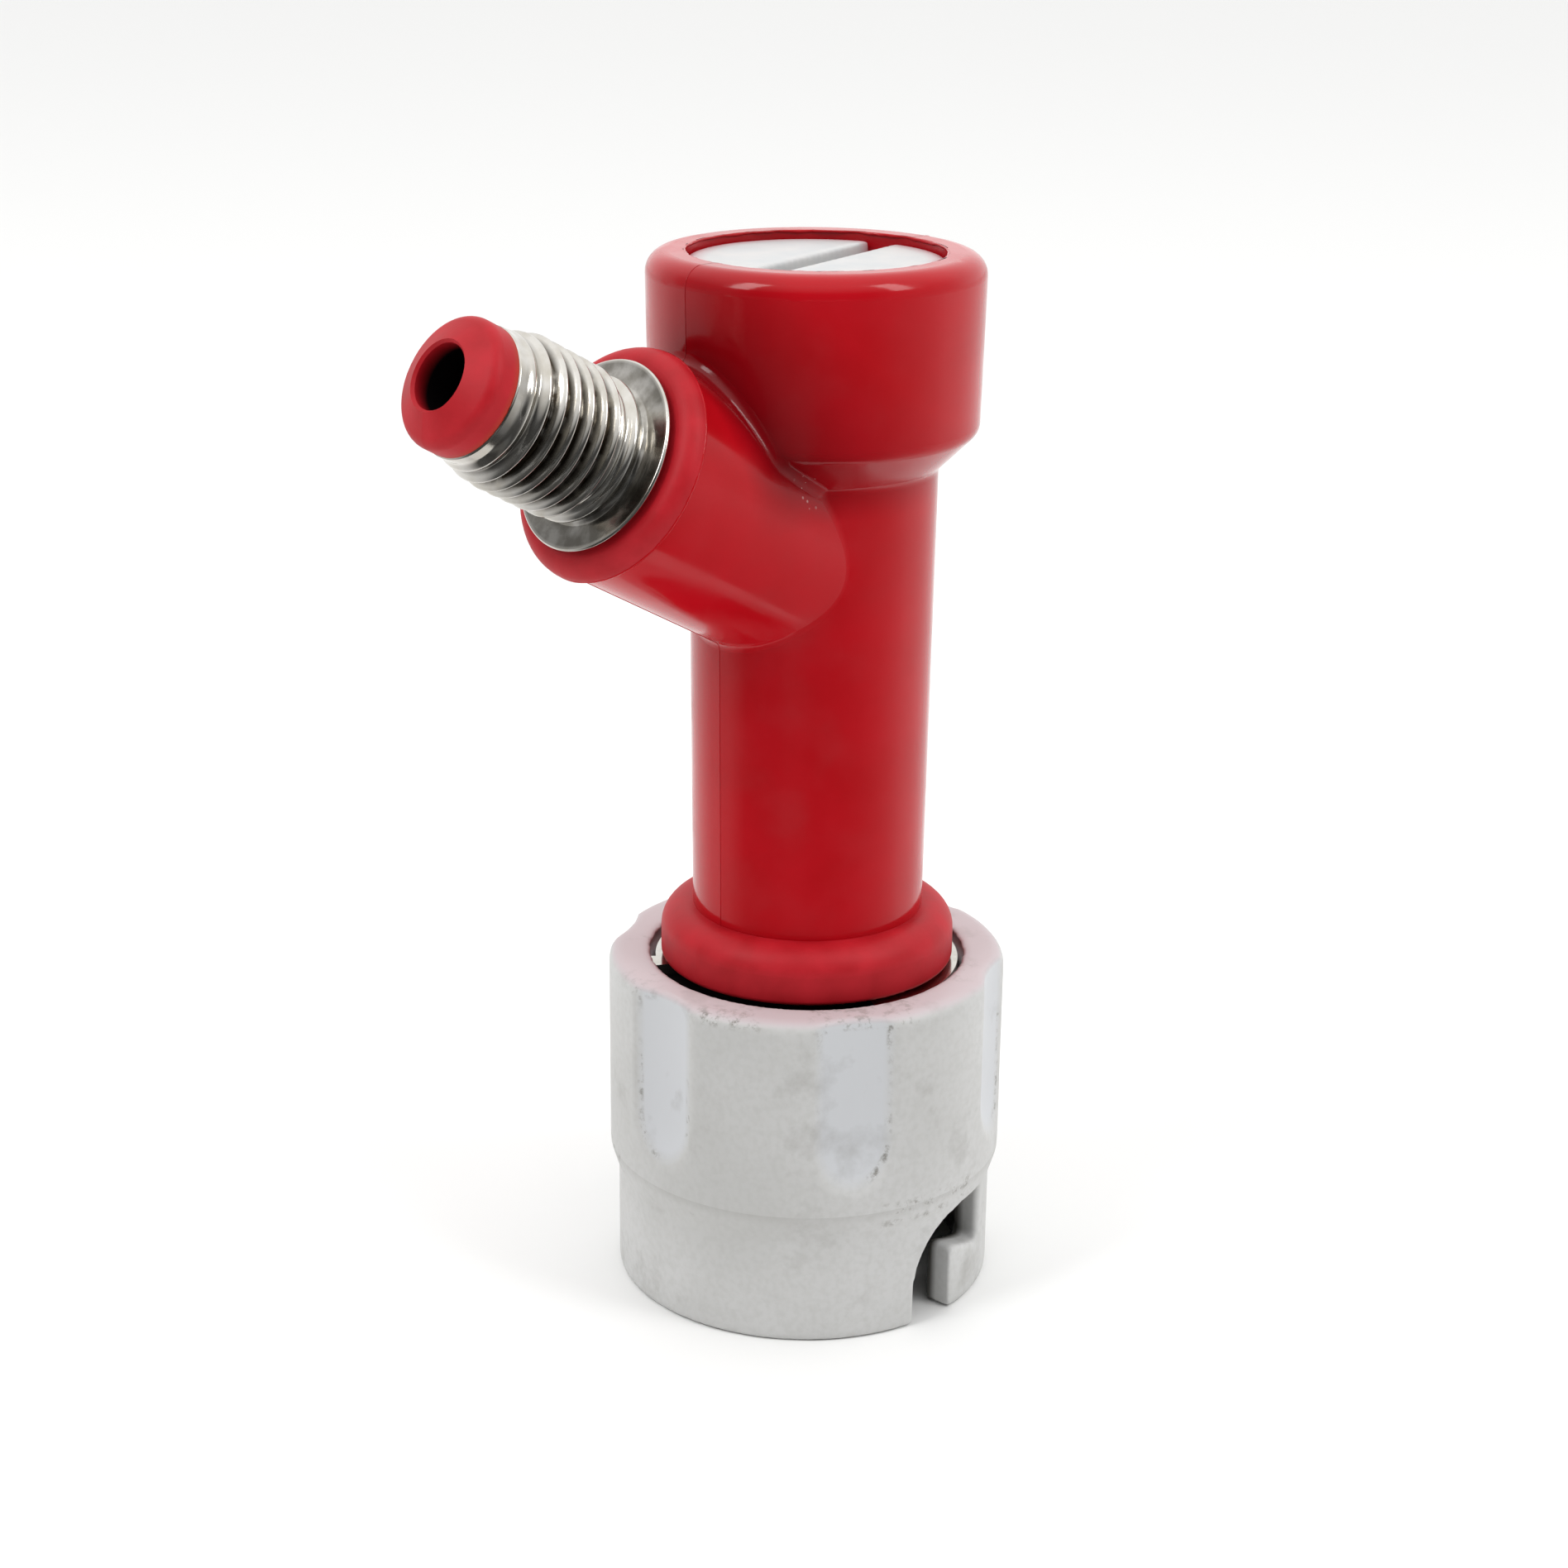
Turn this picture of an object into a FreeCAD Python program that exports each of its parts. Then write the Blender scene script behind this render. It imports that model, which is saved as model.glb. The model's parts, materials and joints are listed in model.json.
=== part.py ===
import FreeCAD, Part
import math
import os

from FreeCAD import Placement, Rotation, Vector

# Twist-lock gas disconnect for a soda keg: a moulded body with a threaded side outlet, a sprung
# valve plunger inside it, and a fluted collar that turns on the body and locks under the two
# side pins of the keg's post.
#
# Millimetres. Z runs up the main bore, and the origin is the middle of the collar's bottom face.
# X points the way the side outlet leaves the body.

# ---- keg post's socket, which sets the sizes round the collar --------------------------------
socket_radius = 7.8          # around the keg's post
socket_bottom = 12.0
socket_length = 9.2
socket_chamfer = 0.5
nose_step = 0.6              # the socket narrows by this much round the end of the post
nose_bore_length = 3.4
throat_radius = 3.4
throat_length = 1.6
socket_wall = 2.52

# ---- locking collar ------------------------------------------------------------------------
collar_height = 26.7
collar_top_above_ledge = 4.1
ledge_width = 1.8            # inner ledge that the body stands on
ledge_thickness = 2.2
grip_wall = 3.25             # wall of the fluted upper part
mouth_radius = 12.6          # inside the plain lower part
mouth_wall = 2.2
skirt_height = 8.5           # plain part, up to the foot of the step
step_height = 2.1            # the taper from the plain part out to the grip
collar_edge_round = 0.9
small_edge_round = 0.3
ledge_slope = 0.8

flute_count = 6
flute_depth = 0.9
flute_scoop_radius = 10.9
flute_round_middle = 16.8    # height of the middle of each flute's rounded lower end
collar_rest_turn = 1.7       # degrees from X to the first flute, with the collar at rest

# ---- the two bayonet slots -----------------------------------------------------------------
slot_from_flute = 38.0       # degrees from a flute to the middle of its slot
entry_width = 3.75           # where a pin comes in from below
entry_turn_radius = 6.0      # the large corner that leads the pin round
lock_width = 4.5             # where the pin comes to rest
slot_top = 8.8
lip_height = 5.45            # top of the tooth, which the pin climbs over
rest_height = 3.95           # the foot of the ramp behind it, where the pin rests
tooth_round = 0.5
slot_foot_round = 0.5        # rounding of the slot's two corners at the collar's bottom
slot_corner_round = 0.4

# ---- body: bead, column, head and side outlet ----------------------------------------------
overall_height = 81.0
seam_above_collar = 4.0      # from the collar's top up to the seam between shell and core
bead_gap = 0.83              # between the bead and the collar's rim
bead_round = 2.0
bead_low_round = 0.4
bead_height = 4.3
neck_gap = 0.73              # between the neck and the retaining ring
flange_thickness = 2.5

core_wall = 2.3              # moulded core's wall around the main chamber
shell_wall = 1.6             # moulded shell's wall at the seam
column_draft = 0.35          # how much wider the column is at its top
head_height = 12.8
head_core_wall = 1.75        # moulded core's wall around the cap's thread
head_shell_wall = 1.65
head_draft = 0.25
head_cone_height = 2.9       # the slope from the column out to the head
head_edge_round = 1.6
head_cone_round = 1.2
head_cone_foot_round = 0.8

outlet_drop = 10.8           # from the foot of the head to the outlet's start on the main bore
outlet_rise = 29.0           # degrees above horizontal
outlet_length = 21.6         # from the main bore to the seam of the end ring
outlet_core_wall = 1.49      # moulded core's wall around the steel sleeve's root
outlet_shell_wall = 1.55
outlet_blend = 0.8           # rounding of the corner between the outlet and the body
end_ring_lip = 0.4
end_ring_length = 1.35
end_ring_round = 1.3
chamber_radius = 5.0
gas_bore_radius = 2.39

# ---- screw cap -----------------------------------------------------------------------------
cap_recess = 0.6
cap_thread_radius = 8.8
cap_thread_pitch = 2.0
cap_thread_turns = 3
cap_thread_depth = 0.7
cap_head_overhang = 0.65     # how far the cap's head stands out past its thread
cap_head_thickness = 2.6
cap_plug_step = 1.4          # how much slimmer the plug is than the thread
cap_plug_length = 3.6
cap_roof = 6.4               # solid top of the cap, above the spring's well
cap_slot_width = 2.2
cap_slot_depth = 2.2
cap_slot_turn = 15.7         # degrees from X
cap_seal_wire = 0.8          # radius of the ring's own section
spring_well_radius = 4.4
chamber_top_drop = 1.2       # main chamber ends this far below the cap
core_top_drop = 0.6          # the core ends this far below the cap's top, under the shell's lip

# ---- valve plunger and spring --------------------------------------------------------------
throat_gas_gap = 1.0         # around the plunger's stem
plunger_tip_length = 2.9     # how far the tip stands below the roof of the socket
plunger_seal_wire = 0.9
plunger_guide_lift = 0.9     # lower guide, above the top of the seat's cone
plunger_head_length = 2.7    # length of the lower guide
plunger_rod_length = 12.7
plunger_guide_length = 2.4
plunger_rod_radius = 2.1
plunger_nose_length = 3.0
gas_groove_radius = 1.1
gas_groove_count = 4
spring_wire_radius = 0.35
spring_turns = 9
wire_flats = 12              # the coil's round wire is drawn with this many flats

# ---- threaded sleeve: 1/4 inch flare outlet, 7/16-20 UNF ------------------------------------
inch = 25.4
thread_major_radius = 7 / 16 * inch / 2
thread_pitch = inch / 20
thread_turns = 7
thread_start = 1.9           # from the flange's face to the first turn
sleeve_flange_radius = 7.06
sleeve_flange_thickness = 0.35
sleeve_flange_gap = 0.45     # from the end ring to the back of the flange
sleeve_length = 11.7         # from the flange's face to the tip
sleeve_wall = 1.18           # under the thread's roots
sleeve_root_length = 6.0     # the grooved root held in the moulding
sleeve_root_step = 0.42      # how much wider the root is than the thread's roots
sleeve_root_groove = 0.5
sleeve_bead_start = 0.5
sleeve_bead_length = 0.8
sleeve_bead_step = 0.42
flare_nose_step = 0.05       # the moulded nose is this much slimmer than the thread's roots
nose_length = 2.95           # from the sleeve's tip to the front of the nose
nose_cone_length = 1.0
nose_round = 0.9
nose_hole_round = 0.2

# ---- retaining ring ------------------------------------------------------------------------
ring_gap = 0.37              # between the ring and the collar's rim
ring_width = 1.5
ring_thickness = 0.9
ring_opening_start = -27.6   # degrees from X
ring_opening_end = 74.4
ring_ear_turn = 9.0          # degrees that each ear covers
ring_ear_reach = 0.75        # how far each ear goes into the collar's groove
wedge_sides = 8              # far corners of the wedge that cuts a part out of a ring

# ---- clearances ----------------------------------------------------------------------------
flange_clearance = 0.2       # round the flange, in the collar
ledge_clearance = 0.08       # running fit of the body in the collar's ledge
ledge_play = 0.05
ring_lift = 0.1              # ring above the body's flange
ring_groove_clearance = 0.1
guide_clearance = 0.08       # running fit of the valve plunger in its bore
seat_gap = 0.05              # seal above its seat, before the spring squeezes it
seal_clearance = 0.02        # ring in its groove
cap_thread_clearance = 0.1
cap_plug_clearance = 0.15
cap_gap = 0.17               # cap's head in the shell's opening
spring_clearance = 0.25      # coil around the plunger's nose
spring_end_gap = 0.05

# ---- sizes that follow from the ones above -------------------------------------------------
body_skirt_radius = socket_radius + socket_wall
ledge_radius = body_skirt_radius + ledge_clearance
rim_bore_radius = ledge_radius + ledge_width
grip_radius = rim_bore_radius + grip_wall
skirt_radius = mouth_radius + mouth_wall
ledge_top = collar_height - collar_top_above_ledge

flange_bottom = ledge_top + ledge_play
flange_top = flange_bottom + flange_thickness
flange_radius = rim_bore_radius - flange_clearance
ring_bottom = flange_top + ring_lift
ring_outer_radius = rim_bore_radius - ring_gap
ring_inner_radius = ring_outer_radius - ring_width
neck_radius = ring_inner_radius - neck_gap
seam_height = collar_height + seam_above_collar
bead_bottom = seam_height - bead_height
bead_radius = rim_bore_radius - bead_gap

core_radius = chamber_radius + core_wall
column_radius_low = core_radius + shell_wall
column_radius_high = column_radius_low + column_draft
core_head_radius = cap_thread_radius + head_core_wall
head_radius_low = core_head_radius + head_shell_wall
head_radius_high = head_radius_low + head_draft
head_bottom = overall_height - head_height
outlet_axis_height = head_bottom - outlet_drop

nose_bore_radius = socket_radius - nose_step
nose_bore_bottom = socket_bottom + socket_length
socket_roof = nose_bore_bottom + nose_bore_length
throat_top = socket_roof + throat_length
seat_top = throat_top + chamber_radius - throat_radius

cap_top = overall_height - cap_recess
cap_head_bottom = cap_top - cap_head_thickness
cap_thread_bottom = cap_head_bottom - (cap_thread_turns + 0.5) * cap_thread_pitch
cap_bottom = cap_thread_bottom - cap_plug_length
cap_head_radius = cap_thread_radius + cap_head_overhang
cap_hole_radius = cap_head_radius + cap_gap
cap_plug_radius = cap_thread_radius - cap_plug_step
plug_bore_radius = cap_plug_radius + cap_plug_clearance
cap_seal_ring = plug_bore_radius - cap_seal_wire - seal_clearance
cap_seal_height = cap_bottom + cap_plug_length / 2
spring_well_ceiling = cap_top - cap_roof
core_top = cap_top - core_top_drop

plunger_stem_radius = throat_radius - throat_gas_gap
plunger_tip = socket_roof - plunger_tip_length
plunger_seal_ring = plunger_stem_radius + plunger_seal_wire + seal_clearance
plunger_seal_height = (throat_top + plunger_seal_ring - throat_radius
                       + (plunger_seal_wire + seat_gap) * math.sqrt(2))
plunger_head_bottom = plunger_seal_height + plunger_seal_wire + seal_clearance
plunger_holder_radius = plunger_seal_ring + plunger_seal_wire
plunger_head_low = seat_top + plunger_guide_lift
plunger_head_top = plunger_head_low + plunger_head_length
plunger_guide_radius = chamber_radius - guide_clearance
plunger_guide_bottom = plunger_head_top + plunger_rod_length
spring_bottom = plunger_guide_bottom + plunger_guide_length
spring_ring = plunger_rod_radius + spring_clearance + spring_wire_radius

thread_depth = 0.6134 * thread_pitch
thread_minor_radius = thread_major_radius - thread_depth
sleeve_bore_radius = thread_minor_radius - sleeve_wall
sleeve_root_radius = thread_minor_radius + sleeve_root_step
outlet_core_radius = sleeve_root_radius + outlet_core_wall
outlet_radius = outlet_core_radius + outlet_shell_wall
end_ring_radius = outlet_radius + end_ring_lip
ring_end = outlet_length + end_ring_length
flange_back = ring_end + sleeve_flange_gap
flange_face = flange_back + sleeve_flange_thickness
sleeve_tip = flange_face + sleeve_length
nose_radius = thread_minor_radius - flare_nose_step
nose_tip = sleeve_tip + nose_length

flute_spacing = 360 / flute_count

AXIS = Vector(0, 0, 1)
FAR = 100.0


def outline(corners):
    """A closed wire in the XZ plane through (radius, height, rounding) corners."""
    spots = [Vector(c[0], 0, c[1]) for c in corners]
    rounds = [c[2] if len(c) > 2 else 0 for c in corners]
    count = len(spots)
    edges, first, last = [], None, None
    for i, spot in enumerate(spots):
        back = (spots[i - 1] - spot).normalize()
        ahead = (spots[(i + 1) % count] - spot).normalize()
        start = end = spot
        if rounds[i]:
            half = back.getAngle(ahead) / 2
            run = rounds[i] / math.tan(half)
            start, end = spot + back * run, spot + ahead * run
        if last is not None and last.distanceToPoint(start) > 1e-6:
            edges.append(Part.LineSegment(last, start).toShape())
        if rounds[i]:
            inward = (back + ahead).normalize()
            middle = spot + inward * (rounds[i] / math.sin(half) - rounds[i])
            edges.append(Part.Arc(start, middle, end).toShape())
        first = first or start
        last = end
    if last.distanceToPoint(first) > 1e-6:
        edges.append(Part.LineSegment(last, first).toShape())
    return Part.Wire(edges)


def turned(corners):
    """The solid that an outline makes when it is turned about Z."""
    return Part.Face(outline(corners)).revolve(Vector(), AXIS, 360)


def rod(radius, low, high):
    return Part.makeCylinder(radius, high - low, Vector(0, 0, low))


def spin(shape, degrees):
    copy = shape.copy()
    copy.rotate(Vector(), AXIS, degrees)
    return copy


def on_outlet(shape):
    """Moves what was built along Z from the origin onto the outlet's axis."""
    copy = shape.copy()
    turn = Rotation(Vector(0, 1, 0), 90 - outlet_rise)
    copy.Placement = Placement(Vector(0, 0, outlet_axis_height), turn)
    return copy


def ridged(major, depth, pitch, turns, start):
    """Corners of a row of thread ridges, upwards, with flat crests and 60 degree flanks."""
    crest = pitch / 8
    foot = crest / 2 + depth * math.tan(math.radians(30))
    corners = []
    for turn in range(turns):
        middle = start + (turn + 0.5) * pitch
        for radius, offset in ((major - depth, -foot), (major, -crest / 2),
                               (major, crest / 2), (major - depth, foot)):
            corners.append((radius, middle + offset))
    return corners


def body_bores():
    """Everything that is hollow inside the body, as one cutter."""
    main = turned([
        (0, socket_bottom - 1), (socket_radius + socket_chamfer, socket_bottom - 1),
        (socket_radius + socket_chamfer, socket_bottom),
        (socket_radius, socket_bottom + socket_chamfer),
        (socket_radius, nose_bore_bottom), (nose_bore_radius, nose_bore_bottom),
        (nose_bore_radius, socket_roof), (throat_radius, socket_roof),
        (throat_radius, throat_top), (chamber_radius, seat_top),
        (chamber_radius, cap_bottom - chamber_top_drop),
        (plug_bore_radius, cap_bottom - chamber_top_drop / 2),
        (plug_bore_radius, cap_thread_bottom), (0, cap_thread_bottom),
    ])
    gap = cap_thread_clearance
    thread = ridged(cap_thread_radius + gap, cap_thread_depth, cap_thread_pitch,
                    cap_thread_turns, cap_thread_bottom + cap_thread_pitch / 4)
    root = cap_thread_radius + gap - cap_thread_depth
    upper = turned([(0, cap_thread_bottom), (root, cap_thread_bottom)] + thread
                   + [(root, cap_head_bottom), (cap_hole_radius, cap_head_bottom),
                      (cap_hole_radius, overall_height + 1), (0, overall_height + 1)])
    gas = on_outlet(rod(gas_bore_radius, 0, nose_tip + 1))
    return main.fuse([upper, gas])


def core_blank():
    """The inner moulding before its bores are cut."""
    column = turned([
        (0, socket_bottom), (body_skirt_radius, socket_bottom, 0.6),
        (body_skirt_radius, flange_bottom), (flange_radius, flange_bottom),
        (flange_radius, flange_top), (neck_radius, flange_top),
        (neck_radius, bead_bottom), (bead_radius, bead_bottom, bead_low_round),
        (bead_radius, seam_height, bead_round), (core_radius, seam_height),
        (core_radius, head_bottom - head_cone_height), (core_head_radius, head_bottom),
        (core_head_radius, core_top), (0, core_top),
    ])
    outlet = turned([
        (0, 0), (outlet_core_radius, 0), (outlet_core_radius, outlet_length),
        (end_ring_radius, outlet_length),
        (end_ring_radius, ring_end, end_ring_round), (sleeve_bore_radius, ring_end),
        (sleeve_bore_radius, sleeve_tip), (nose_radius, sleeve_tip, 0.15),
        (nose_radius, nose_tip - nose_cone_length, nose_round),
        (gas_bore_radius + nose_hole_round, nose_tip), (gas_bore_radius, nose_tip - nose_hole_round),
        (0, nose_tip - nose_hole_round),
    ])
    return column.fuse(on_outlet(outlet)).removeSplitter()


def sleeve():
    """Steel insert: knurled root, thin flange, beaded neck and rolled thread."""
    first_turn = flange_face + thread_start
    last_turn = first_turn + thread_turns * thread_pitch
    root_bottom = ring_end - sleeve_root_length
    middle = ring_end - sleeve_root_length / 2
    groove = sleeve_root_radius - sleeve_root_groove
    bead = thread_minor_radius + sleeve_bead_step
    bead_start = flange_face + sleeve_bead_start
    bead_end = bead_start + sleeve_bead_length
    corners = [
        (sleeve_bore_radius, root_bottom), (sleeve_root_radius, root_bottom),
        (sleeve_root_radius, middle - 0.8), (groove, middle - 0.8),
        (groove, middle + 0.8), (sleeve_root_radius, middle + 0.8),
        (sleeve_root_radius, flange_back), (sleeve_flange_radius, flange_back),
        (sleeve_flange_radius, flange_face, 0.2), (thread_minor_radius, flange_face),
        (thread_minor_radius, bead_start), (bead, bead_start, 0.2), (bead, bead_end, 0.2),
        (thread_minor_radius, bead_end),
    ]
    corners += ridged(thread_major_radius, thread_depth, thread_pitch, thread_turns, first_turn)
    corners += [(thread_minor_radius, sleeve_tip), (sleeve_bore_radius, sleeve_tip)]
    return on_outlet(turned(corners))


def body_core():
    return core_blank().cut([body_bores(), sleeve()]).removeSplitter()


def body_shell():
    """The glossy outer moulding, drawn round the core."""
    column = turned([
        (0, seam_height), (column_radius_low, seam_height),
        (column_radius_high, head_bottom - head_cone_height, head_cone_foot_round),
        (head_radius_low, head_bottom, head_cone_round),
        (head_radius_high, overall_height, head_edge_round), (0, overall_height),
    ])
    outlet = on_outlet(rod(outlet_radius, 0, outlet_length))
    outer = column.fuse(outlet).removeSplitter()
    corner = [edge for edge in outer.Edges if edge.Curve.TypeId == "Part::GeomBSplineCurve"]
    outer = outer.makeFillet(outlet_blend, corner)
    return outer.cut([core_blank(), body_bores()]).removeSplitter()


def screw_cap():
    """Closes the top of the main bore and backs the spring."""
    root = cap_thread_radius - cap_thread_depth
    seal_root = cap_seal_ring - cap_seal_wire - seal_clearance
    half_groove = cap_seal_wire + 0.1
    thread = ridged(cap_thread_radius, cap_thread_depth, cap_thread_pitch,
                    cap_thread_turns, cap_thread_bottom + cap_thread_pitch / 4)
    cap = turned([
        (0, cap_bottom), (cap_plug_radius, cap_bottom),
        (cap_plug_radius, cap_seal_height - half_groove),
        (seal_root, cap_seal_height - half_groove),
        (seal_root, cap_seal_height + half_groove),
        (cap_plug_radius, cap_seal_height + half_groove),
        (cap_plug_radius, cap_thread_bottom), (root, cap_thread_bottom),
    ] + thread + [
        (root, cap_head_bottom), (cap_head_radius, cap_head_bottom),
        (cap_head_radius, cap_top, small_edge_round), (0, cap_top),
    ])
    well = rod(spring_well_radius, cap_bottom - 1, spring_well_ceiling)
    slot = Part.makeBox(2 * FAR, cap_slot_width, cap_slot_depth + 1,
                        Vector(-FAR, -cap_slot_width / 2, cap_top - cap_slot_depth))
    return cap.cut([well, spin(slot, cap_slot_turn)])


def seal_ring(ring_radius, wire_radius, height):
    return Part.makeTorus(ring_radius, wire_radius, Vector(0, 0, height))


def valve_plunger():
    """Stem with a sealing head below and a grooved guide above, which the spring pushes down."""
    plunger = turned([
        (0, plunger_tip), (plunger_stem_radius, plunger_tip, 0.5),
        (plunger_stem_radius, plunger_head_bottom), (plunger_holder_radius, plunger_head_bottom),
        (plunger_holder_radius, plunger_head_low), (plunger_guide_radius, plunger_head_low),
        (plunger_guide_radius, plunger_head_top), (plunger_rod_radius, plunger_head_top),
        (plunger_rod_radius, plunger_guide_bottom), (plunger_guide_radius, plunger_guide_bottom),
        (plunger_guide_radius, spring_bottom), (plunger_rod_radius, spring_bottom),
        (plunger_rod_radius, spring_bottom + plunger_nose_length, 0.4),
        (0, spring_bottom + plunger_nose_length),
    ])
    grooves = []
    for number in range(gas_groove_count):
        groove = Part.makeCylinder(gas_groove_radius, FAR,
                                   Vector(plunger_guide_radius + 0.2, 0, plunger_head_bottom - 1))
        grooves.append(spin(groove, 45 + 360 / gas_groove_count * number))
    return plunger.cut(grooves)


def valve_spring():
    """Closed coil from the plunger's guide up to the roof of the cap's well."""
    low = spring_bottom + spring_wire_radius + spring_end_gap
    high = spring_well_ceiling - spring_wire_radius - spring_end_gap
    pitch = (high - low) / spring_turns
    path = Part.Wire(Part.makeHelix(pitch, high - low, spring_ring))
    corners = []
    for side in range(wire_flats + 1):
        angle = 2 * math.pi * side / wire_flats
        corners.append(Vector(spring_ring + spring_wire_radius * math.cos(angle), 0,
                              spring_wire_radius * math.sin(angle)))
    coil = path.makePipeShell([Part.makePolygon(corners)], True, True)
    coil.translate(Vector(0, 0, low))
    return coil


def bayonet_slot():
    """Cutter for one slot, drawn flat on the collar's side and pushed through the wall."""
    left = -(entry_width + lock_width) / 2
    tooth = left + entry_width
    right = tooth + lock_width
    flare = slot_foot_round + 0.1
    wire = outline([
        (left - flare, -1), (left - flare, 0), (left, 0, slot_foot_round),
        (left, slot_top, entry_turn_radius), (right, slot_top, slot_corner_round),
        (right, rest_height, slot_corner_round), (tooth, lip_height, tooth_round),
        (tooth, 0, slot_foot_round), (tooth + flare, 0), (tooth + flare, -1),
    ])
    slot = Part.Face(wire).extrude(Vector(0, -2 * grip_radius, 0))
    slot.rotate(Vector(), AXIS, 90)
    return slot


def locking_collar():
    """Fluted ring that turns on the body and pulls it down onto the keg's post."""
    groove_low = ring_bottom - ring_groove_clearance
    groove_high = ring_bottom + ring_thickness + ring_groove_clearance
    groove_radius = rim_bore_radius + ring_ear_reach
    ledge_bottom = ledge_top - ledge_thickness
    grip_foot = skirt_height + step_height
    collar = turned([
        (mouth_radius, 0, small_edge_round), (skirt_radius, 0, small_edge_round),
        (skirt_radius, skirt_height), (grip_radius, grip_foot, small_edge_round),
        (grip_radius, collar_height, collar_edge_round),
        (rim_bore_radius, collar_height, small_edge_round),
        (rim_bore_radius, groove_high), (groove_radius, groove_high),
        (groove_radius, groove_low), (rim_bore_radius, groove_low),
        (rim_bore_radius, ledge_top), (ledge_radius, ledge_top),
        (ledge_radius, ledge_bottom), (mouth_radius, ledge_bottom - ledge_slope),
    ])
    cutters = []
    scoop_reach = grip_radius - flute_depth + flute_scoop_radius
    spot = Vector(scoop_reach, 0, flute_round_middle)
    scoop = Part.makeSphere(flute_scoop_radius, spot).fuse(
        Part.makeCylinder(flute_scoop_radius, collar_height, spot))
    for number in range(flute_count):
        cutters.append(spin(scoop, flute_spacing * number))
    for side in (0, 180):
        cutters.append(spin(bayonet_slot(), slot_from_flute + flute_spacing + side))
    return spin(collar.cut(cutters), collar_rest_turn)


def sector(inner, outer, low, high, start, end):
    """Part of a flat ring between two angles."""
    ring = rod(outer, low, high).cut(rod(inner, low - 1, high + 1))
    corners = [Vector()]
    for step in range(wedge_sides + 1):
        angle = math.radians(start + (end - start) * step / wedge_sides)
        corners.append(Vector(FAR * math.cos(angle), FAR * math.sin(angle), 0))
    corners.append(Vector())
    wedge = Part.Face(Part.makePolygon(corners)).extrude(Vector(0, 0, high + 1))
    return ring.common(wedge)


def retaining_ring():
    """Open spring ring: its ears sit in the collar's groove, and it holds the flange down."""
    top = ring_bottom + ring_thickness
    ring = sector(ring_inner_radius, ring_outer_radius, ring_bottom, top,
                  ring_opening_end, ring_opening_start + 360)
    half = ring_ear_turn / 2
    back = (ring_opening_start + ring_opening_end) / 2 + 180
    ear_radius = rim_bore_radius + ring_ear_reach - ring_groove_clearance
    for middle in (ring_opening_end + half, back, ring_opening_start + 360 - half):
        ring = ring.fuse(sector(ring_outer_radius - 0.3, ear_radius, ring_bottom, top,
                                middle - half, middle + half))
    return ring.removeSplitter()


def main():
    os.makedirs("parts", exist_ok=True)
    pieces = {
        "body_shell": body_shell(),
        "body_core": body_core(),
        "threaded_sleeve": sleeve(),
        "screw_cap": screw_cap(),
        "cap_seal": seal_ring(cap_seal_ring, cap_seal_wire, cap_seal_height),
        "valve_spring": valve_spring(),
        "valve_plunger": valve_plunger(),
        "plunger_seal": seal_ring(plunger_seal_ring, plunger_seal_wire, plunger_seal_height),
        "locking_collar": locking_collar(),
        "retaining_ring": retaining_ring(),
    }
    for name, shape in pieces.items():
        box = shape.BoundBox
        print(f"{name:16} solids {len(shape.Solids)} valid {shape.isValid()} "
              f"volume {shape.Volume:9.2f} mm3, z {box.ZMin:6.2f} to {box.ZMax:6.2f}")
        shape.exportStep(f"parts/{name}.step")


main()
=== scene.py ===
# %% [markdown]
# # A twist-lock keg gas disconnect
# The object is a quick coupling for a soda keg, about 81 mm tall: a red moulded body, a steel thread on
# its side outlet, a white screw cap in its head, and a light grey collar that turns and locks. The CAD
# model fixes where everything is and how large it is, and this script gives it its looks. Everything
# is in metres, in the CAD's own frame: Z runs up the main bore and X points along the outlet.

# %% Load the frame
import bpy
import bmesh
import json
import math
from mathutils import Matrix, Vector
from mathutils.bvhtree import BVHTree


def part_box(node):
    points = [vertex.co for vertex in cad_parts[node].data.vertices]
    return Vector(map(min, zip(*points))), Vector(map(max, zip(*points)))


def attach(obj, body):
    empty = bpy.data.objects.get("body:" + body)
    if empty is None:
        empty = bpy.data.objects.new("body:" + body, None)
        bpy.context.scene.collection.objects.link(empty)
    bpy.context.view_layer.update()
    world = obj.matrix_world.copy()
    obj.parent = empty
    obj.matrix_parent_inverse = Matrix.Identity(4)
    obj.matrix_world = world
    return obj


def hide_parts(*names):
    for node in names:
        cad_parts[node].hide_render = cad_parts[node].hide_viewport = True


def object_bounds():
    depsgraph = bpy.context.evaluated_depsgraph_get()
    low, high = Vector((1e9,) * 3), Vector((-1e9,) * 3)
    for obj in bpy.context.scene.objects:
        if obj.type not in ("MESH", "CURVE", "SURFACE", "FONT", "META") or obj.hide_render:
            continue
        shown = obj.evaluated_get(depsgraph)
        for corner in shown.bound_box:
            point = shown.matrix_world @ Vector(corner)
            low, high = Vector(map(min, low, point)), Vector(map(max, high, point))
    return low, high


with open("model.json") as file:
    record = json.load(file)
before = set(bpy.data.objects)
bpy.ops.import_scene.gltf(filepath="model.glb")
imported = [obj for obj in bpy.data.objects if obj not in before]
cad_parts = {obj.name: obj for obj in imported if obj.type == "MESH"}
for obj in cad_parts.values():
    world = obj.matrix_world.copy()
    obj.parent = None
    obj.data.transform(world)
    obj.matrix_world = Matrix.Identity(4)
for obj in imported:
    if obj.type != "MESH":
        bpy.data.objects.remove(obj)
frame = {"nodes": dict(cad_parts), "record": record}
cad_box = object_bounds()
MM = 0.001
TOP = cad_box[1][2]

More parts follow.
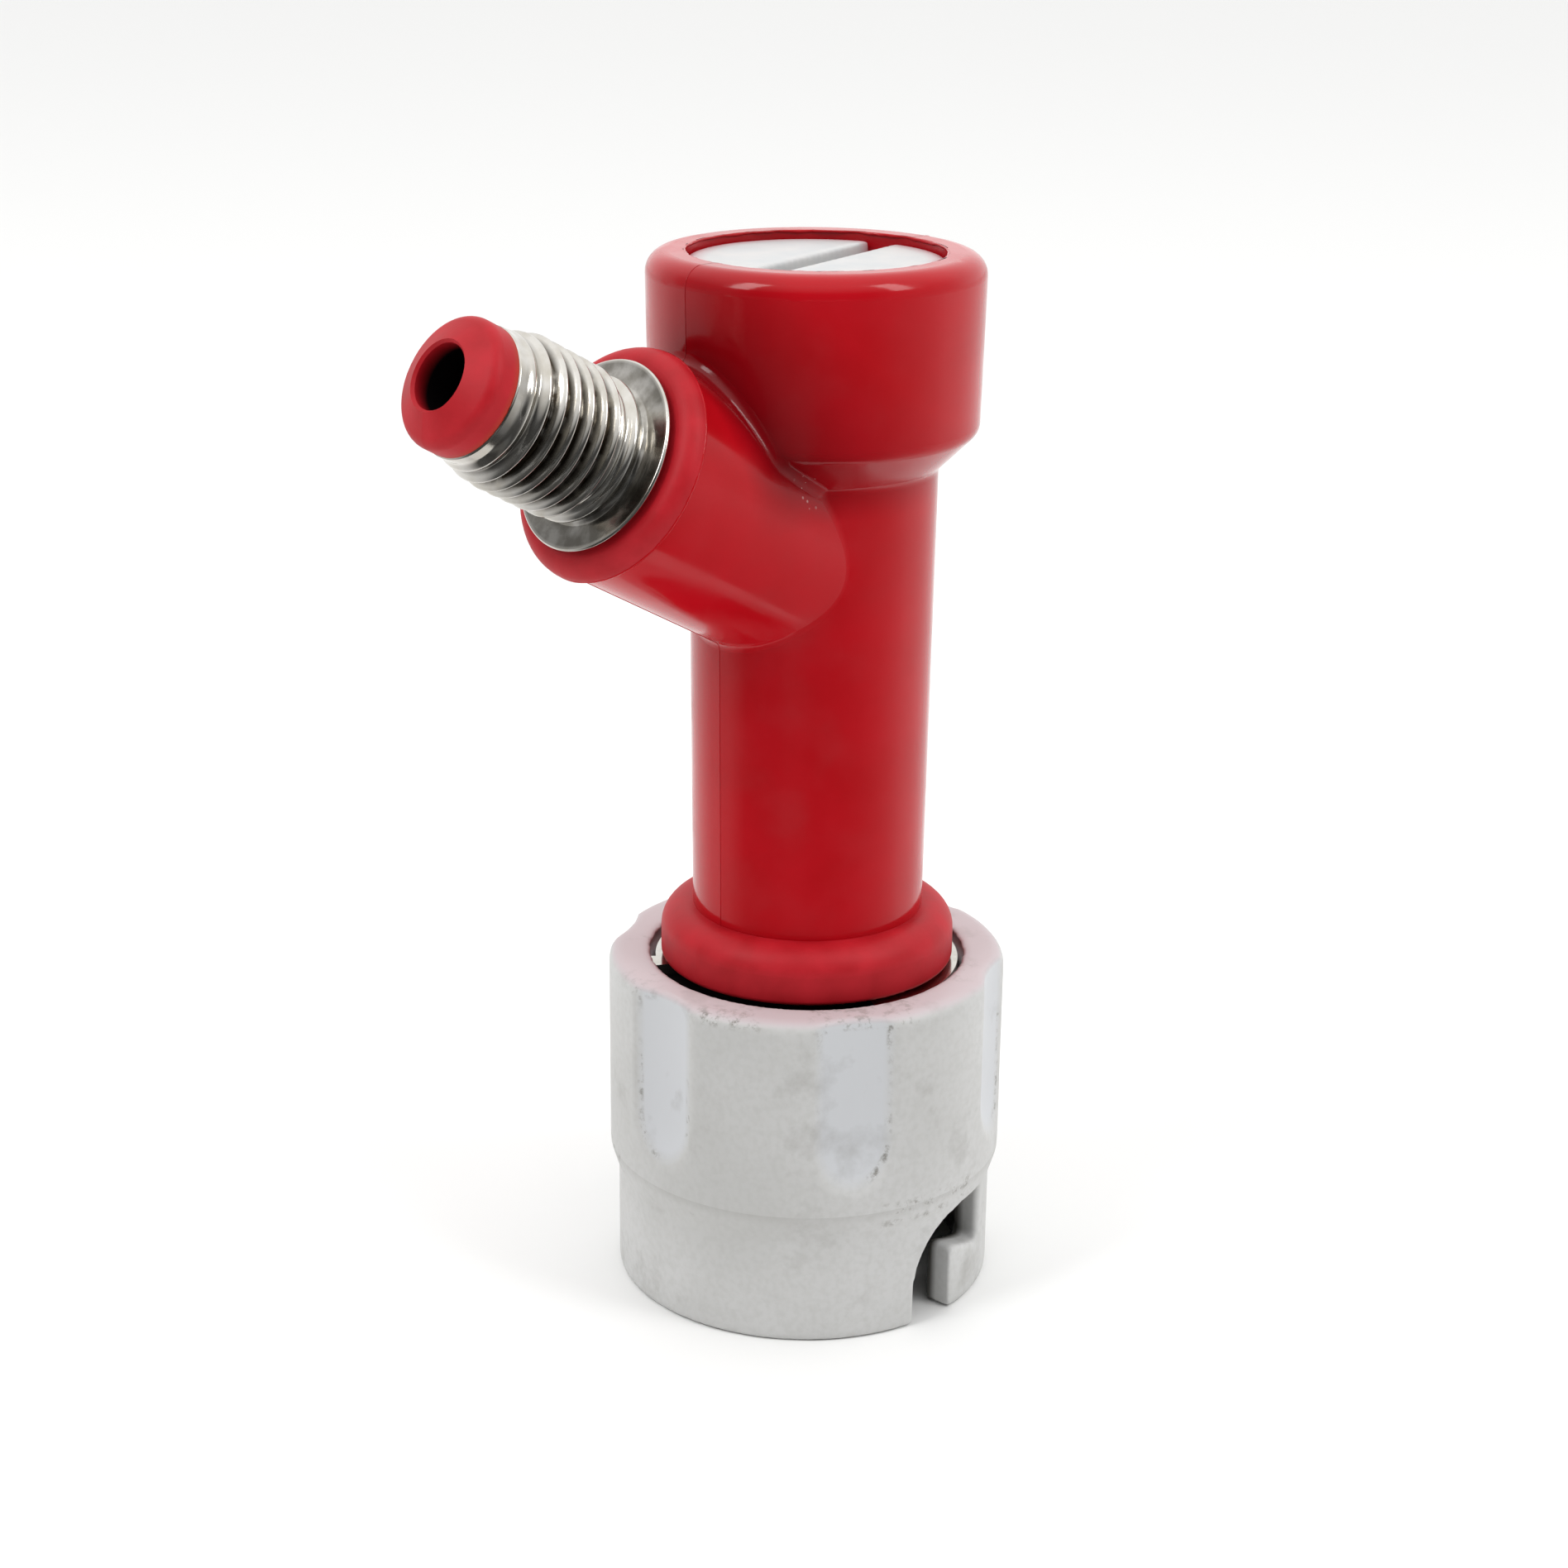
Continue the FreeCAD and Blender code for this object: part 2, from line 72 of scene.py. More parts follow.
# %% [markdown]
# ## Colours and node helpers
# A colour is easiest to pick as an sRGB hex value, the way a paint chart gives it, but shaders work in
# linear light, so one function turns hex to linear. A second one adds a node to any tree, sets its
# settings and joins its inputs, so that each material below reads as a short list of what it does.

# %% Helpers for node trees


def linear(hex_colour):
    """sRGB hex, such as "#b01e28", to the linear RGBA that shaders take."""
    parts = [int(hex_colour[i:i + 2], 16) / 255 for i in (1, 3, 5)]
    return [c / 12.92 if c <= 0.04045 else ((c + 0.055) / 1.055) ** 2.4 for c in parts] + [1.0]


def add(tree, kind, inputs=None, stops=(), **settings):
    """Adds one node. Each input is a value to set, or an output socket to link from."""
    node = tree.nodes.new(kind)
    for name, value in settings.items():
        setattr(node, name, value)
    for name, value in (inputs or {}).items():
        socket = node.inputs[name]
        if isinstance(value, bpy.types.NodeSocket):
            tree.links.new(value, socket)
        else:
            socket.default_value = value
    for number, (position, colour) in enumerate(stops):
        elements = node.color_ramp.elements
        element = elements[number] if number < 2 else elements.new(position)
        element.position, element.color = position, colour
    return node


def new_material(name, **surface):
    """A material with a Principled surface whose sockets are set, and its Object coordinates."""
    material = bpy.data.materials.new(name)
    material.use_nodes = True
    tree = material.node_tree
    shader = tree.nodes["Principled BSDF"]
    for socket, value in surface.items():
        shader.inputs[socket.replace("_", " ")].default_value = value
    place = add(tree, "ShaderNodeTexCoord").outputs["Object"]
    return material, tree, shader, place


def per_mm(size):
    """The texture scale that repeats about once in size millimetres, on coordinates in metres."""
    return 1 / (size * MM)


def grey(value):
    """A linear grey of that brightness, as RGBA."""
    return (value, value, value, 1)


def from_bore(tree, place):
    """How far each point is from the main bore, and its coordinates one by one."""
    split = add(tree, "ShaderNodeSeparateXYZ", {0: place}).outputs
    flat = add(tree, "ShaderNodeCombineXYZ", {0: split["X"], 1: split["Y"]}).outputs[0]
    radius = add(tree, "ShaderNodeVectorMath", {0: flat}, operation="LENGTH").outputs["Value"]
    return radius, split


# %% [markdown]
# ## Camera, floor and light
# The camera stands a little above the head and looks down, about 220 mm away. Its place and turn come
# from the way the round rims look as ellipses.

# %% Camera
CAMERA_AT = Vector((142.8, 155.3, 113.71)) * MM
CAMERA_TURN = 137.4          # degrees that the camera's own frame is turned about Z
YAW, PITCH, ROLL = -0.0091, 0.3358, 0.0114
LENS, SENSOR = 66.73, 36.0
CLIP_NEAR, CLIP_FAR = 0.01, 20       # metres


def make_camera():
    ahead = Vector((math.sin(YAW) * math.cos(PITCH), math.cos(YAW) * math.cos(PITCH), -math.sin(PITCH)))
    right = Vector((math.cos(YAW), -math.sin(YAW), 0))
    up = right.cross(ahead)
    across = right * math.cos(ROLL) + up * math.sin(ROLL)
    upward = up * math.cos(ROLL) - right * math.sin(ROLL)
    turn = Matrix.Rotation(math.radians(CAMERA_TURN), 4, "Z")
    basis = Matrix((across, upward, -ahead)).transposed().to_4x4()
    data = bpy.data.cameras.new("camera")
    data.lens, data.sensor_width = LENS, SENSOR
    data.clip_start, data.clip_end = CLIP_NEAR, CLIP_FAR
    camera = bpy.data.objects.new("camera", data)
    bpy.context.scene.collection.objects.link(camera)
    camera.matrix_world = Matrix.Translation(CAMERA_AT) @ turn @ basis
    bpy.context.scene.camera = camera
    print("camera at", [round(v, 4) for v in camera.location], "lens", LENS)


make_camera()

# %% [markdown]
# ## Floor and a dark card
# The object stands on a large sheet of white paper. A glossy red plastic also mirrors what is in front
# of it, and in a studio that is the dark room behind the camera. A card on the paper that only mirror
# rays can see plays that part. It is darkest in front and lighter towards both sides, so it keeps the
# front of the body a deep red, and it leaves the paper white.

# %% Floor
FLOOR_HALF = 4.0
CARD_NEAR, CARD_FAR = 0.03, 2.5      # metres from the main bore
CARD_SIDES = 24
CARD_LIFT = 0.3 * MM
CARD_TONES = (                       # degrees from the camera's side, and how light
    (-120, 0.85), (-100, 0.7), (-80, 0.45), (-62, 0.05), (-30, 0.02), (-20, 0.08),
    (-6, 0.06), (4, 0.02), (32, 0.05), (50, 0.16), (68, 0.36), (95, 0.8),
)
CAMERA_SIDE = CAMERA_TURN - 90       # degrees from X to the side that the camera stands on


def flat_stage(name, corners, material):
    mesh = bpy.data.meshes.new(name)
    mesh.from_pydata(corners, [], [tuple(range(len(corners)))])
    mesh.materials.append(material)
    sheet = bpy.data.objects.new(name, mesh)
    bpy.context.scene.collection.objects.link(sheet)
    return sheet


def share_of_turn(tree, direction, first, last):
    """Where a direction lies between two angles from the camera's side, 0 to 1, and how high it is."""
    turned = add(tree, "ShaderNodeMapping", {"Vector": direction,
                                             "Rotation": (0, 0, -math.radians(CAMERA_SIDE))}).outputs[0]
    split = add(tree, "ShaderNodeSeparateXYZ", {0: turned}).outputs
    angle = add(tree, "ShaderNodeMath", {0: split["Y"], 1: split["X"]}, operation="ARCTAN2").outputs[0]
    share = add(tree, "ShaderNodeMapRange", {"Value": angle, "From Min": math.radians(first),
                                             "From Max": math.radians(last)}).outputs[0]
    return share, split["Z"]


def make_floor():
    low, half = cad_box[0][2], FLOOR_HALF
    paper = new_material("white_paper_sweep", Base_Color=linear("#efefee"), Roughness=0.9)[0]
    corners = [(x * half, y * half, low) for x, y in ((-1, -1), (1, -1), (1, 1), (-1, 1))]
    flat_stage("floor", corners, paper)


def make_card():
    left, right = CARD_TONES[0][0], CARD_TONES[-1][0]
    dark, tree, shader, place = new_material("shaded_card", Roughness=0.9)
    share = share_of_turn(tree, place, left, right)[0]
    tones = [((degrees - left) / (right - left), grey(tone)) for degrees, tone in CARD_TONES]
    shade = add(tree, "ShaderNodeValToRGB", {"Fac": share}, stops=tones)
    tree.links.new(shade.outputs["Color"], shader.inputs["Base Color"])
    sector = (right - left) / CARD_SIDES
    turns = [math.radians(CAMERA_SIDE + left + sector * i) for i in range(CARD_SIDES + 1)]
    lift = cad_box[0][2] + CARD_LIFT
    ring = [(CARD_NEAR * math.cos(a), CARD_NEAR * math.sin(a), lift) for a in reversed(turns)]
    ring += [(CARD_FAR * math.cos(a), CARD_FAR * math.sin(a), lift) for a in turns]
    card = flat_stage("dark_card", ring, dark)
    card.visible_camera = card.visible_diffuse = card.visible_shadow = False


make_floor()
make_card()
print("floor", 2 * FLOOR_HALF, "m across, and a card of", len(CARD_TONES), "tones")

# %% [markdown]
# ## Lights
# The sky is a white tent: bright overhead and behind, dimmer on the left, and dark round the camera.
# Two tall softboxes stand in front, left and right, for the two soft highlights on the head's rounded
# edge. The tent and the softboxes are placed by angles from the camera's side, so they turn with it.

# %% Lights
SOFTBOXES = {                # degrees from the camera's side, degrees up, width, height, watts
    "left_box": (-56, 44, 0.20, 0.44, 2.0),
    "right_box": (64, 43, 0.20, 0.44, 1.7),
}
BOX_DISTANCE, BOX_AIM = 0.8, Vector((0, 0, 0.05))
TENT = (                     # share of the way round, from behind, and how bright
    (0.0, 1.15), (0.12, 1.05), (0.17, 0.8), (0.21, 0.35), (0.33, 0.35), (0.38, 0.06),
    (0.60, 0.06), (0.66, 0.45), (0.78, 0.75), (0.84, 1.15), (1.0, 1.15),
)
TENT_TOP, TENT_LEVEL = 1.3, 1.02     # how bright the roof is, and what multiplies the whole tent
SIDES_END, ROOF_FULL = 24, 62        # degrees up at which the sides end and the roof is full


def make_softboxes():
    for name, (around, up, width, height, watts) in SOFTBOXES.items():
        data = bpy.data.lights.new(name, "AREA")
        data.shape, data.size, data.size_y = "RECTANGLE", width, height
        data.energy = watts
        light = bpy.data.objects.new(name, data)
        bpy.context.scene.collection.objects.link(light)
        a, e = math.radians(CAMERA_SIDE + around), math.radians(up)
        away = Vector((math.cos(a) * math.cos(e), math.sin(a) * math.cos(e), math.sin(e)))
        light.matrix_world = (Matrix.Translation(BOX_AIM + away * BOX_DISTANCE)
                              @ away.to_track_quat("Z", "Y").to_matrix().to_4x4())


def make_tent():
    world = bpy.data.worlds.new("light_tent")
    world.use_nodes = True
    bpy.context.scene.world = world
    tree = world.node_tree
    ray = add(tree, "ShaderNodeTexCoord").outputs["Generated"]
    share, up = share_of_turn(tree, ray, -180, 180)
    tones = [(where, grey(level)) for where, level in TENT]
    sides = add(tree, "ShaderNodeValToRGB", {"Fac": share}, stops=tones)
    height = add(tree, "ShaderNodeMapRange", {"Value": up, "From Min": math.sin(math.radians(SIDES_END)),
                                              "From Max": math.sin(math.radians(ROOF_FULL))})
    sky = add(tree, "ShaderNodeMix", {0: height.outputs[0], 6: sides.outputs["Color"], 7: grey(TENT_TOP)},
              data_type="RGBA")
    background = tree.nodes["Background"]
    tree.links.new(sky.outputs[2], background.inputs["Color"])
    background.inputs["Strength"].default_value = TENT_LEVEL


make_softboxes()
make_tent()
bpy.context.scene.view_settings.view_transform = "Standard"
print("lights", sorted(SOFTBOXES), "and a tent of", len(TENT), "tones")

# %% [markdown]
# ## The outlet's axis
# The side outlet leans out of the body. Its axis comes from the thread that the CAD states there. The
# materials and the sleeve below all measure from it.

# %% The outlet's own frame
thread = next(m for m in frame["record"]["mounts"] if m["name"] == "flare_thread")
outlet_way = Vector(thread["axis"]).normalized()
thread_middle = thread["pos_m"][0] / outlet_way.x       # along the outlet, from the main bore
thread_half = thread["dims"]["length_mm"] * MM / 2
CREST = thread["dims"]["r_mm"] * MM
outlet_start = Vector(thread["pos_m"]) - outlet_way * thread_middle
OUTLET = Matrix.Translation(outlet_start) @ outlet_way.to_track_quat("Z", "Y").to_matrix().to_4x4()
PITCH_UNF = 25.4 / 20 * MM
DEPTH = 0.6134 * PITCH_UNF
ROOT = CREST - DEPTH
TIP = (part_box("threaded_sleeve")[1][0] - ROOT * outlet_way.z) / outlet_way.x
GAS_BORE = 2.39 * MM
NECK = 2.455 * MM                     # from the flange's face to the thread's nominal start
FLANGE_FACE = thread_middle - thread_half - NECK
FLANGE_THICKNESS = 0.35 * MM
FLANGE_BACK = FLANGE_FACE - FLANGE_THICKNESS
FLANGE = 7.06 * MM                    # the flange's radius
MOUTH = 21.6 * MM                     # where the moulding round the outlet ends
OUTLET_SHELL = 8.24 * MM              # radius of the outlet's moulding


def from_outlet(tree, place):
    """How far each point is from the outlet's axis, and how far along that axis it lies."""
    arm = add(tree, "ShaderNodeVectorMath", {0: place, 1: outlet_start}, operation="SUBTRACT").outputs[0]
    across = add(tree, "ShaderNodeVectorMath", {0: arm, 1: outlet_way}, operation="CROSS_PRODUCT").outputs[0]
    radius = add(tree, "ShaderNodeVectorMath", {0: across}, operation="LENGTH").outputs["Value"]
    along = add(tree, "ShaderNodeVectorMath", {0: arm, 1: outlet_way}, operation="DOT_PRODUCT")
    return radius, along.outputs["Value"]


print("outlet starts at", [round(v / MM, 2) for v in outlet_start], "tip", round(TIP / MM, 2), "mm along")

# %% [markdown]
# ## Gloss red moulding
# The body's outer shell is acetal, injection moulded in a polished tool. To the eye that is one even,
# deep red with sharp reflections, a faint ripple where the plastic shrank, thin smudges from handling
# that dull the gloss, and dust that gathers in the corner under the head. The nook between the outlet
# and the head is darkened with painted shade.

# %% Gloss red
DUST_CORNER = tuple(Vector((7.2, 6.2, 65.5)) * MM)      # where the outlet meets the column, under the head
DUST_REACH = 2.2 * MM
HEAD = 12.20 * MM                     # radius of the head
# Painted shade in the nook under the head: where it starts and is full, and how much of it is laid on.
NOOK_FROM, NOOK_FULL = 63 * MM, 67.5 * MM      # heights between which the nook under the head darkens
NOOK_CLEAR = 3.5 * MM, 9 * MM         # how far from the head and from the outlet's moulding it ends
NOOK_SIDE = -6 * MM, 1 * MM           # and the places along Y where it starts, and is full
NOOK_SHADE = 0.75


def gloss_red():
    material, tree, shader, place = new_material("acetal_polished_moulding", IOR=1.48,
                                                 Specular_IOR_Level=0.28)
    mottle = add(tree, "ShaderNodeTexNoise", {"Vector": place, "Scale": per_mm(7), "Detail": 3})
    colour = add(tree, "ShaderNodeValToRGB", {"Fac": mottle.outputs["Fac"]},
                 stops=[(0.35, linear("#ad0b15")), (0.65, linear("#b50e1a"))])
    specks = add(tree, "ShaderNodeTexVoronoi", {"Vector": place, "Scale": per_mm(0.7), "Randomness": 1})
    speck = add(tree, "ShaderNodeMath", {0: specks.outputs["Distance"], 1: 0.16}, operation="LESS_THAN")
    corner = add(tree, "ShaderNodeVectorMath", {0: place, 1: DUST_CORNER}, operation="DISTANCE")
    near = add(tree, "ShaderNodeMapRange", {"Value": corner.outputs["Value"], "From Min": DUST_REACH,
                                            "From Max": DUST_REACH * 0.7})
    dust = add(tree, "ShaderNodeMath", {0: speck.outputs[0], 1: near.outputs[0]}, operation="MULTIPLY")
    dusty = add(tree, "ShaderNodeMix", {0: dust.outputs[0], 6: colour.outputs["Color"],
                                        7: linear("#d99a98")}, data_type="RGBA")
    # Painted shade: light hardly reaches between the outlet and the head, so the colour there is mixed
    # towards a near-black red.
    out, split = from_bore(tree, place)
    away = from_outlet(tree, place)[0]
    nook = add(tree, "ShaderNodeMapRange", {"Value": split["Z"], "From Min": NOOK_FROM,
                                            "From Max": NOOK_FULL}).outputs[0]
    for distance, clear, full in ((out, HEAD + NOOK_CLEAR[0], HEAD),
                                  (away, OUTLET_SHELL + NOOK_CLEAR[1], OUTLET_SHELL),
                                  (split["Y"], NOOK_SIDE[0], NOOK_SIDE[1])):
        close = add(tree, "ShaderNodeMapRange", {"Value": distance, "From Min": clear, "From Max": full})
        nook = add(tree, "ShaderNodeMath", {0: nook, 1: close.outputs[0]}, operation="MULTIPLY").outputs[0]
    dim = add(tree, "ShaderNodeMath", {0: nook, 1: NOOK_SHADE}, operation="MULTIPLY").outputs[0]
    painted_shade = add(tree, "ShaderNodeMix", {0: dim, 6: dusty.outputs[2], 7: linear("#3c0206")}, data_type="RGBA")
    tree.links.new(painted_shade.outputs[2], shader.inputs["Base Color"])
    smudge = add(tree, "ShaderNodeTexNoise", {"Vector": place, "Scale": per_mm(4), "Detail": 5})
    gloss = add(tree, "ShaderNodeMapRange", {"Value": smudge.outputs["Fac"], "From Min": 0.45,
                                             "From Max": 0.7, "To Min": 0.11, "To Max": 0.24})
    tree.links.new(gloss.outputs[0], shader.inputs["Roughness"])
    ripple = add(tree, "ShaderNodeTexNoise", {"Vector": place, "Scale": per_mm(2.2), "Detail": 2})
    bump = add(tree, "ShaderNodeBump", {"Height": ripple.outputs["Fac"], "Strength": 0.25,
                                        "Distance": 0.02 * MM})
    tree.links.new(bump.outputs["Normal"], shader.inputs["Normal"])
    return material


# %% [markdown]
# ## Matte red moulding
# The inner moulding is the same plastic from a sparked tool, so it is satin: lighter, with a fine grain
# of about a quarter of a millimetre, drawn a little coarser than life so that it shows.

# %% Matte red
COLLAR_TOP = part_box("locking_collar")[1][2]
GAP_TOP = COLLAR_TOP - 0.1 * MM       # the gap is seen below the collar's rim
# The gas bore's painted shade starts and is full between these distances beyond the steel's tip.
BORE_DARK = 2.7 * MM, 1.6 * MM        # the bore blackens between these distances beyond the steel's tip
JOINT_STAIN = 0.6 * MM, 0.05 * MM     # the nose is stained where it leaves the steel


def matte_red():
    material, tree, shader, place = new_material("acetal_sparked_moulding", IOR=1.48,
                                                 Specular_IOR_Level=0.25)
    mottle = add(tree, "ShaderNodeTexNoise", {"Vector": place, "Scale": per_mm(2.5), "Detail": 5})
    colour = add(tree, "ShaderNodeValToRGB", {"Fac": mottle.outputs["Fac"]},
                 stops=[(0.3, linear("#a9111c")), (0.7, linear("#bb1b27"))])
    # Painted shade: the gap under the collar's rim and the inside of the gas bore are darkened to near black.
    height = add(tree, "ShaderNodeSeparateXYZ", {0: place}).outputs["Z"]
    gap = add(tree, "ShaderNodeMapRange", {"Value": height, "From Min": GAP_TOP,
                                           "From Max": GAP_TOP - 0.8 * MM}).outputs[0]
    radius, along = from_outlet(tree, place)
    wall = GAS_BORE + 0.1 * MM
    inside = add(tree, "ShaderNodeMath", {0: radius, 1: wall}, operation="LESS_THAN").outputs[0]
    deep = add(tree, "ShaderNodeMapRange", {"Value": along, "From Min": TIP + BORE_DARK[0],
                                            "From Max": TIP + BORE_DARK[1]}).outputs[0]
    bore = add(tree, "ShaderNodeMath", {0: inside, 1: deep}, operation="MULTIPLY").outputs[0]
    black = add(tree, "ShaderNodeMath", {0: gap, 1: bore}, operation="MAXIMUM").outputs[0]
    joint = add(tree, "ShaderNodeMapRange", {"Value": along, "From Min": TIP + JOINT_STAIN[0],
                                             "From Max": TIP + JOINT_STAIN[1], "To Max": 0.5}).outputs[0]
    tired = add(tree, "ShaderNodeMix", {0: joint, 6: colour.outputs["Color"], 7: linear("#a0421c")},
                data_type="RGBA")
    # Behind the tip, and so everywhere but on the nose, the moulding keeps its own colour.
    clean_or_sheen = add(tree, "ShaderNodeMapRange", {"Value": along, "From Min": TIP - 0.3 * MM,
                                             "From Max": TIP - 0.5 * MM}).outputs[0]
    shown = add(tree, "ShaderNodeMix", {0: clean_or_sheen, 6: tired.outputs[2], 7: colour.outputs["Color"]},
                data_type="RGBA")
    # Painted shade: near black is laid over the gap and the bore.
    darkened = add(tree, "ShaderNodeMix", {0: black, 6: shown.outputs[2], 7: linear("#080305")},
                 data_type="RGBA")
    tree.links.new(darkened.outputs[2], shader.inputs["Base Color"])
    rough = add(tree, "ShaderNodeMapRange", {"Value": mottle.outputs["Fac"], "To Min": 0.42, "To Max": 0.6})
    tree.links.new(rough.outputs[0], shader.inputs["Roughness"])
    grain = add(tree, "ShaderNodeTexNoise", {"Vector": place, "Scale": per_mm(0.3), "Detail": 2})
    bump = add(tree, "ShaderNodeBump", {"Height": grain.outputs["Fac"], "Strength": 0.4,
                                        "Distance": 0.02 * MM})
    tree.links.new(bump.outputs["Normal"], shader.inputs["Normal"])
    return material


# %% [markdown]
# ## Steel
# The threaded sleeve is stainless steel, rolled, not cut, so its crests are burnished and its roots keep
# oil and dirt, darkened further with painted shade. The flange's face is darkened with painted shade, so
# that its rim reads as lit. The mesh carries how far each point stands above the root, and the dirt and
# painted shade read it. The spring and the retaining ring get the same finish without the dirt and shade.

# %% Steel
RIM_UNSHADED = 0.2 * MM, 0.35 * MM      # how far in from its rim the flange's painted shade starts, and is full


def soiled_and_shaded_steel(tree, place, cloud, clean_or_sheen):
    """Dirt and painted shade in the thread's roots, and painted shade on the flange's face, so that its rim
    reads as lit.
    """
    height = add(tree, "ShaderNodeAttribute", attribute_name="thread_height").outputs["Fac"]
    low = add(tree, "ShaderNodeMapRange", {"Value": height, "From Min": 0.7, "From Max": 0.2}).outputs[0]
    patch = add(tree, "ShaderNodeMapRange", {"Value": cloud, "From Min": 0.2, "From Max": 0.5}).outputs[0]
    # Grime and painted shade: the thread's roots darken in patches.
    grime_and_shade = add(tree, "ShaderNodeMath", {0: low, 1: patch}, operation="MULTIPLY").outputs[0]
    darkened = add(tree, "ShaderNodeMix", {0: grime_and_shade, 6: clean_or_sheen, 7: linear("#3b342a")}, data_type="RGBA")
    # Painted shade: the flange's face is darkened in patches towards a dull grey, so that its rim reads as
    # lit.
    out, along = from_outlet(tree, place)
    ahead = FLANGE_FACE + 0.3 * MM
    behind = add(tree, "ShaderNodeMath", {0: along, 1: ahead}, operation="LESS_THAN").outputs[0]
    inner = add(tree, "ShaderNodeMapRange", {"Value": out, "From Min": FLANGE - RIM_UNSHADED[0],
                                             "From Max": FLANGE - RIM_UNSHADED[1], "To Max": 0.75}).outputs[0]
    face = add(tree, "ShaderNodeMath", {0: behind, 1: inner}, operation="MULTIPLY").outputs[0]
    shade_patches = add(tree, "ShaderNodeMapRange", {"Value": cloud, "From Min": 0.65, "From Max": 0.4,
                                             "To Min": 0.4}).outputs[0]
    painted_shade = add(tree, "ShaderNodeMath", {0: face, 1: shade_patches}, operation="MULTIPLY").outputs[0]
    faced = add(tree, "ShaderNodeMix", {0: painted_shade, 6: darkened.outputs[2], 7: linear("#6a665f")},
                data_type="RGBA")
    return faced.outputs[2]


def steel(name, dirty_and_shaded):
    material, tree, shader, place = new_material(name, Metallic=1.0)
    cloud = add(tree, "ShaderNodeTexNoise", {"Vector": place, "Scale": per_mm(1.6),
                                             "Detail": 6}).outputs["Fac"]
    finish = add(tree, "ShaderNodeValToRGB", {"Fac": cloud},
                 stops=[(0.3, linear("#bdb8ae")), (0.6, linear("#cfccc6"))]).outputs["Color"]
    rough = add(tree, "ShaderNodeMapRange", {"Value": cloud, "To Min": 0.07, "To Max": 0.24}).outputs[0]
    tree.links.new(rough, shader.inputs["Roughness"])
    if dirty_and_shaded:
        finish = soiled_and_shaded_steel(tree, place, cloud, finish)
    tree.links.new(finish, shader.inputs["Base Color"])
    scratch = add(tree, "ShaderNodeTexNoise", {"Vector": place, "Scale": per_mm(0.5), "Detail": 4})
    bump = add(tree, "ShaderNodeBump", {"Height": scratch.outputs["Fac"], "Strength": 0.12,
                                        "Distance": 0.008 * MM})
    tree.links.new(bump.outputs["Normal"], shader.inputs["Normal"])
    return material


# %% [markdown]
# ## White and grey nylon
# The cap is natural nylon: milky, so that light goes a millimetre into it, and the plunger's acetal
# looks the same; the pink at the cap's edge is painted light from the red round it. The collar is nylon
# filled with pale grey pigment, satin from its tool. Years of damp hands have left dark specks along its
# edges and a few soft smears on its sides. Its colour also carries a painted highlight in the flute
# bottoms, painted shade inside its wall and in a thin line under the grip, and a painted reflection of
# the red bead on its top rim. The seals are plain black rubber, with a faint bloom.

# %% White nylon
CAP_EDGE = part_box("screw_cap")[1][0]
TINT_REACH = 1.6 * MM, 0.3 * MM       # how far in from its edge the cap's painted red glow starts, and is full


def white_nylon(name):
    material, tree, shader, place = new_material(name, Roughness=0.32, IOR=1.53, Subsurface_Weight=0.25,
                                                 Subsurface_Scale=1 * MM, Subsurface_Radius=(1, 1, 1))
    haze = add(tree, "ShaderNodeTexNoise", {"Vector": place, "Scale": per_mm(3), "Detail": 4})
    colour = add(tree, "ShaderNodeValToRGB", {"Fac": haze.outputs["Fac"]},
                 stops=[(0.3, linear("#bbbebf")), (0.7, linear("#cac8c6"))])
    # Painted light: the cap's thin edge is tinted pink for the red round it that shines through.
    out = from_bore(tree, place)[0]
    thin = add(tree, "ShaderNodeMapRange", {"Value": out, "From Min": CAP_EDGE - TINT_REACH[0],
                                            "From Max": CAP_EDGE - TINT_REACH[1], "To Max": 0.8}).outputs[0]
    tinted = add(tree, "ShaderNodeMix", {0: thin, 6: colour.outputs["Color"], 7: linear("#b98a90")},
                 data_type="RGBA")
    tree.links.new(tinted.outputs[2], shader.inputs["Base Color"])
    bump = add(tree, "ShaderNodeBump", {"Height": haze.outputs["Fac"], "Strength": 0.3,
                                        "Distance": 0.03 * MM})
    tree.links.new(bump.outputs["Normal"], shader.inputs["Normal"])
    return material


# %% Grey nylon
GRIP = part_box("locking_collar")[1][0]      # radius of the collar's grip
STEP = 10.9 * MM                           # height of the grip's lower edge
INSIDE_SHADE_IN = 1.9 * MM, 2.5 * MM             # how far in from the grip the painted shade starts, and is full
INSIDE_SHADE_TOP = 24 * MM, 20 * MM              # and the heights where it starts, and is full
RUBBED = (                                 # what is measured, where its edge is, and how wide it is rubbed
    ("height", STEP, 0.7 * MM),
    ("height", COLLAR_TOP - 0.4 * MM, 0.6 * MM),
    ("radius", GRIP - 0.3 * MM, 0.14 * MM),
)


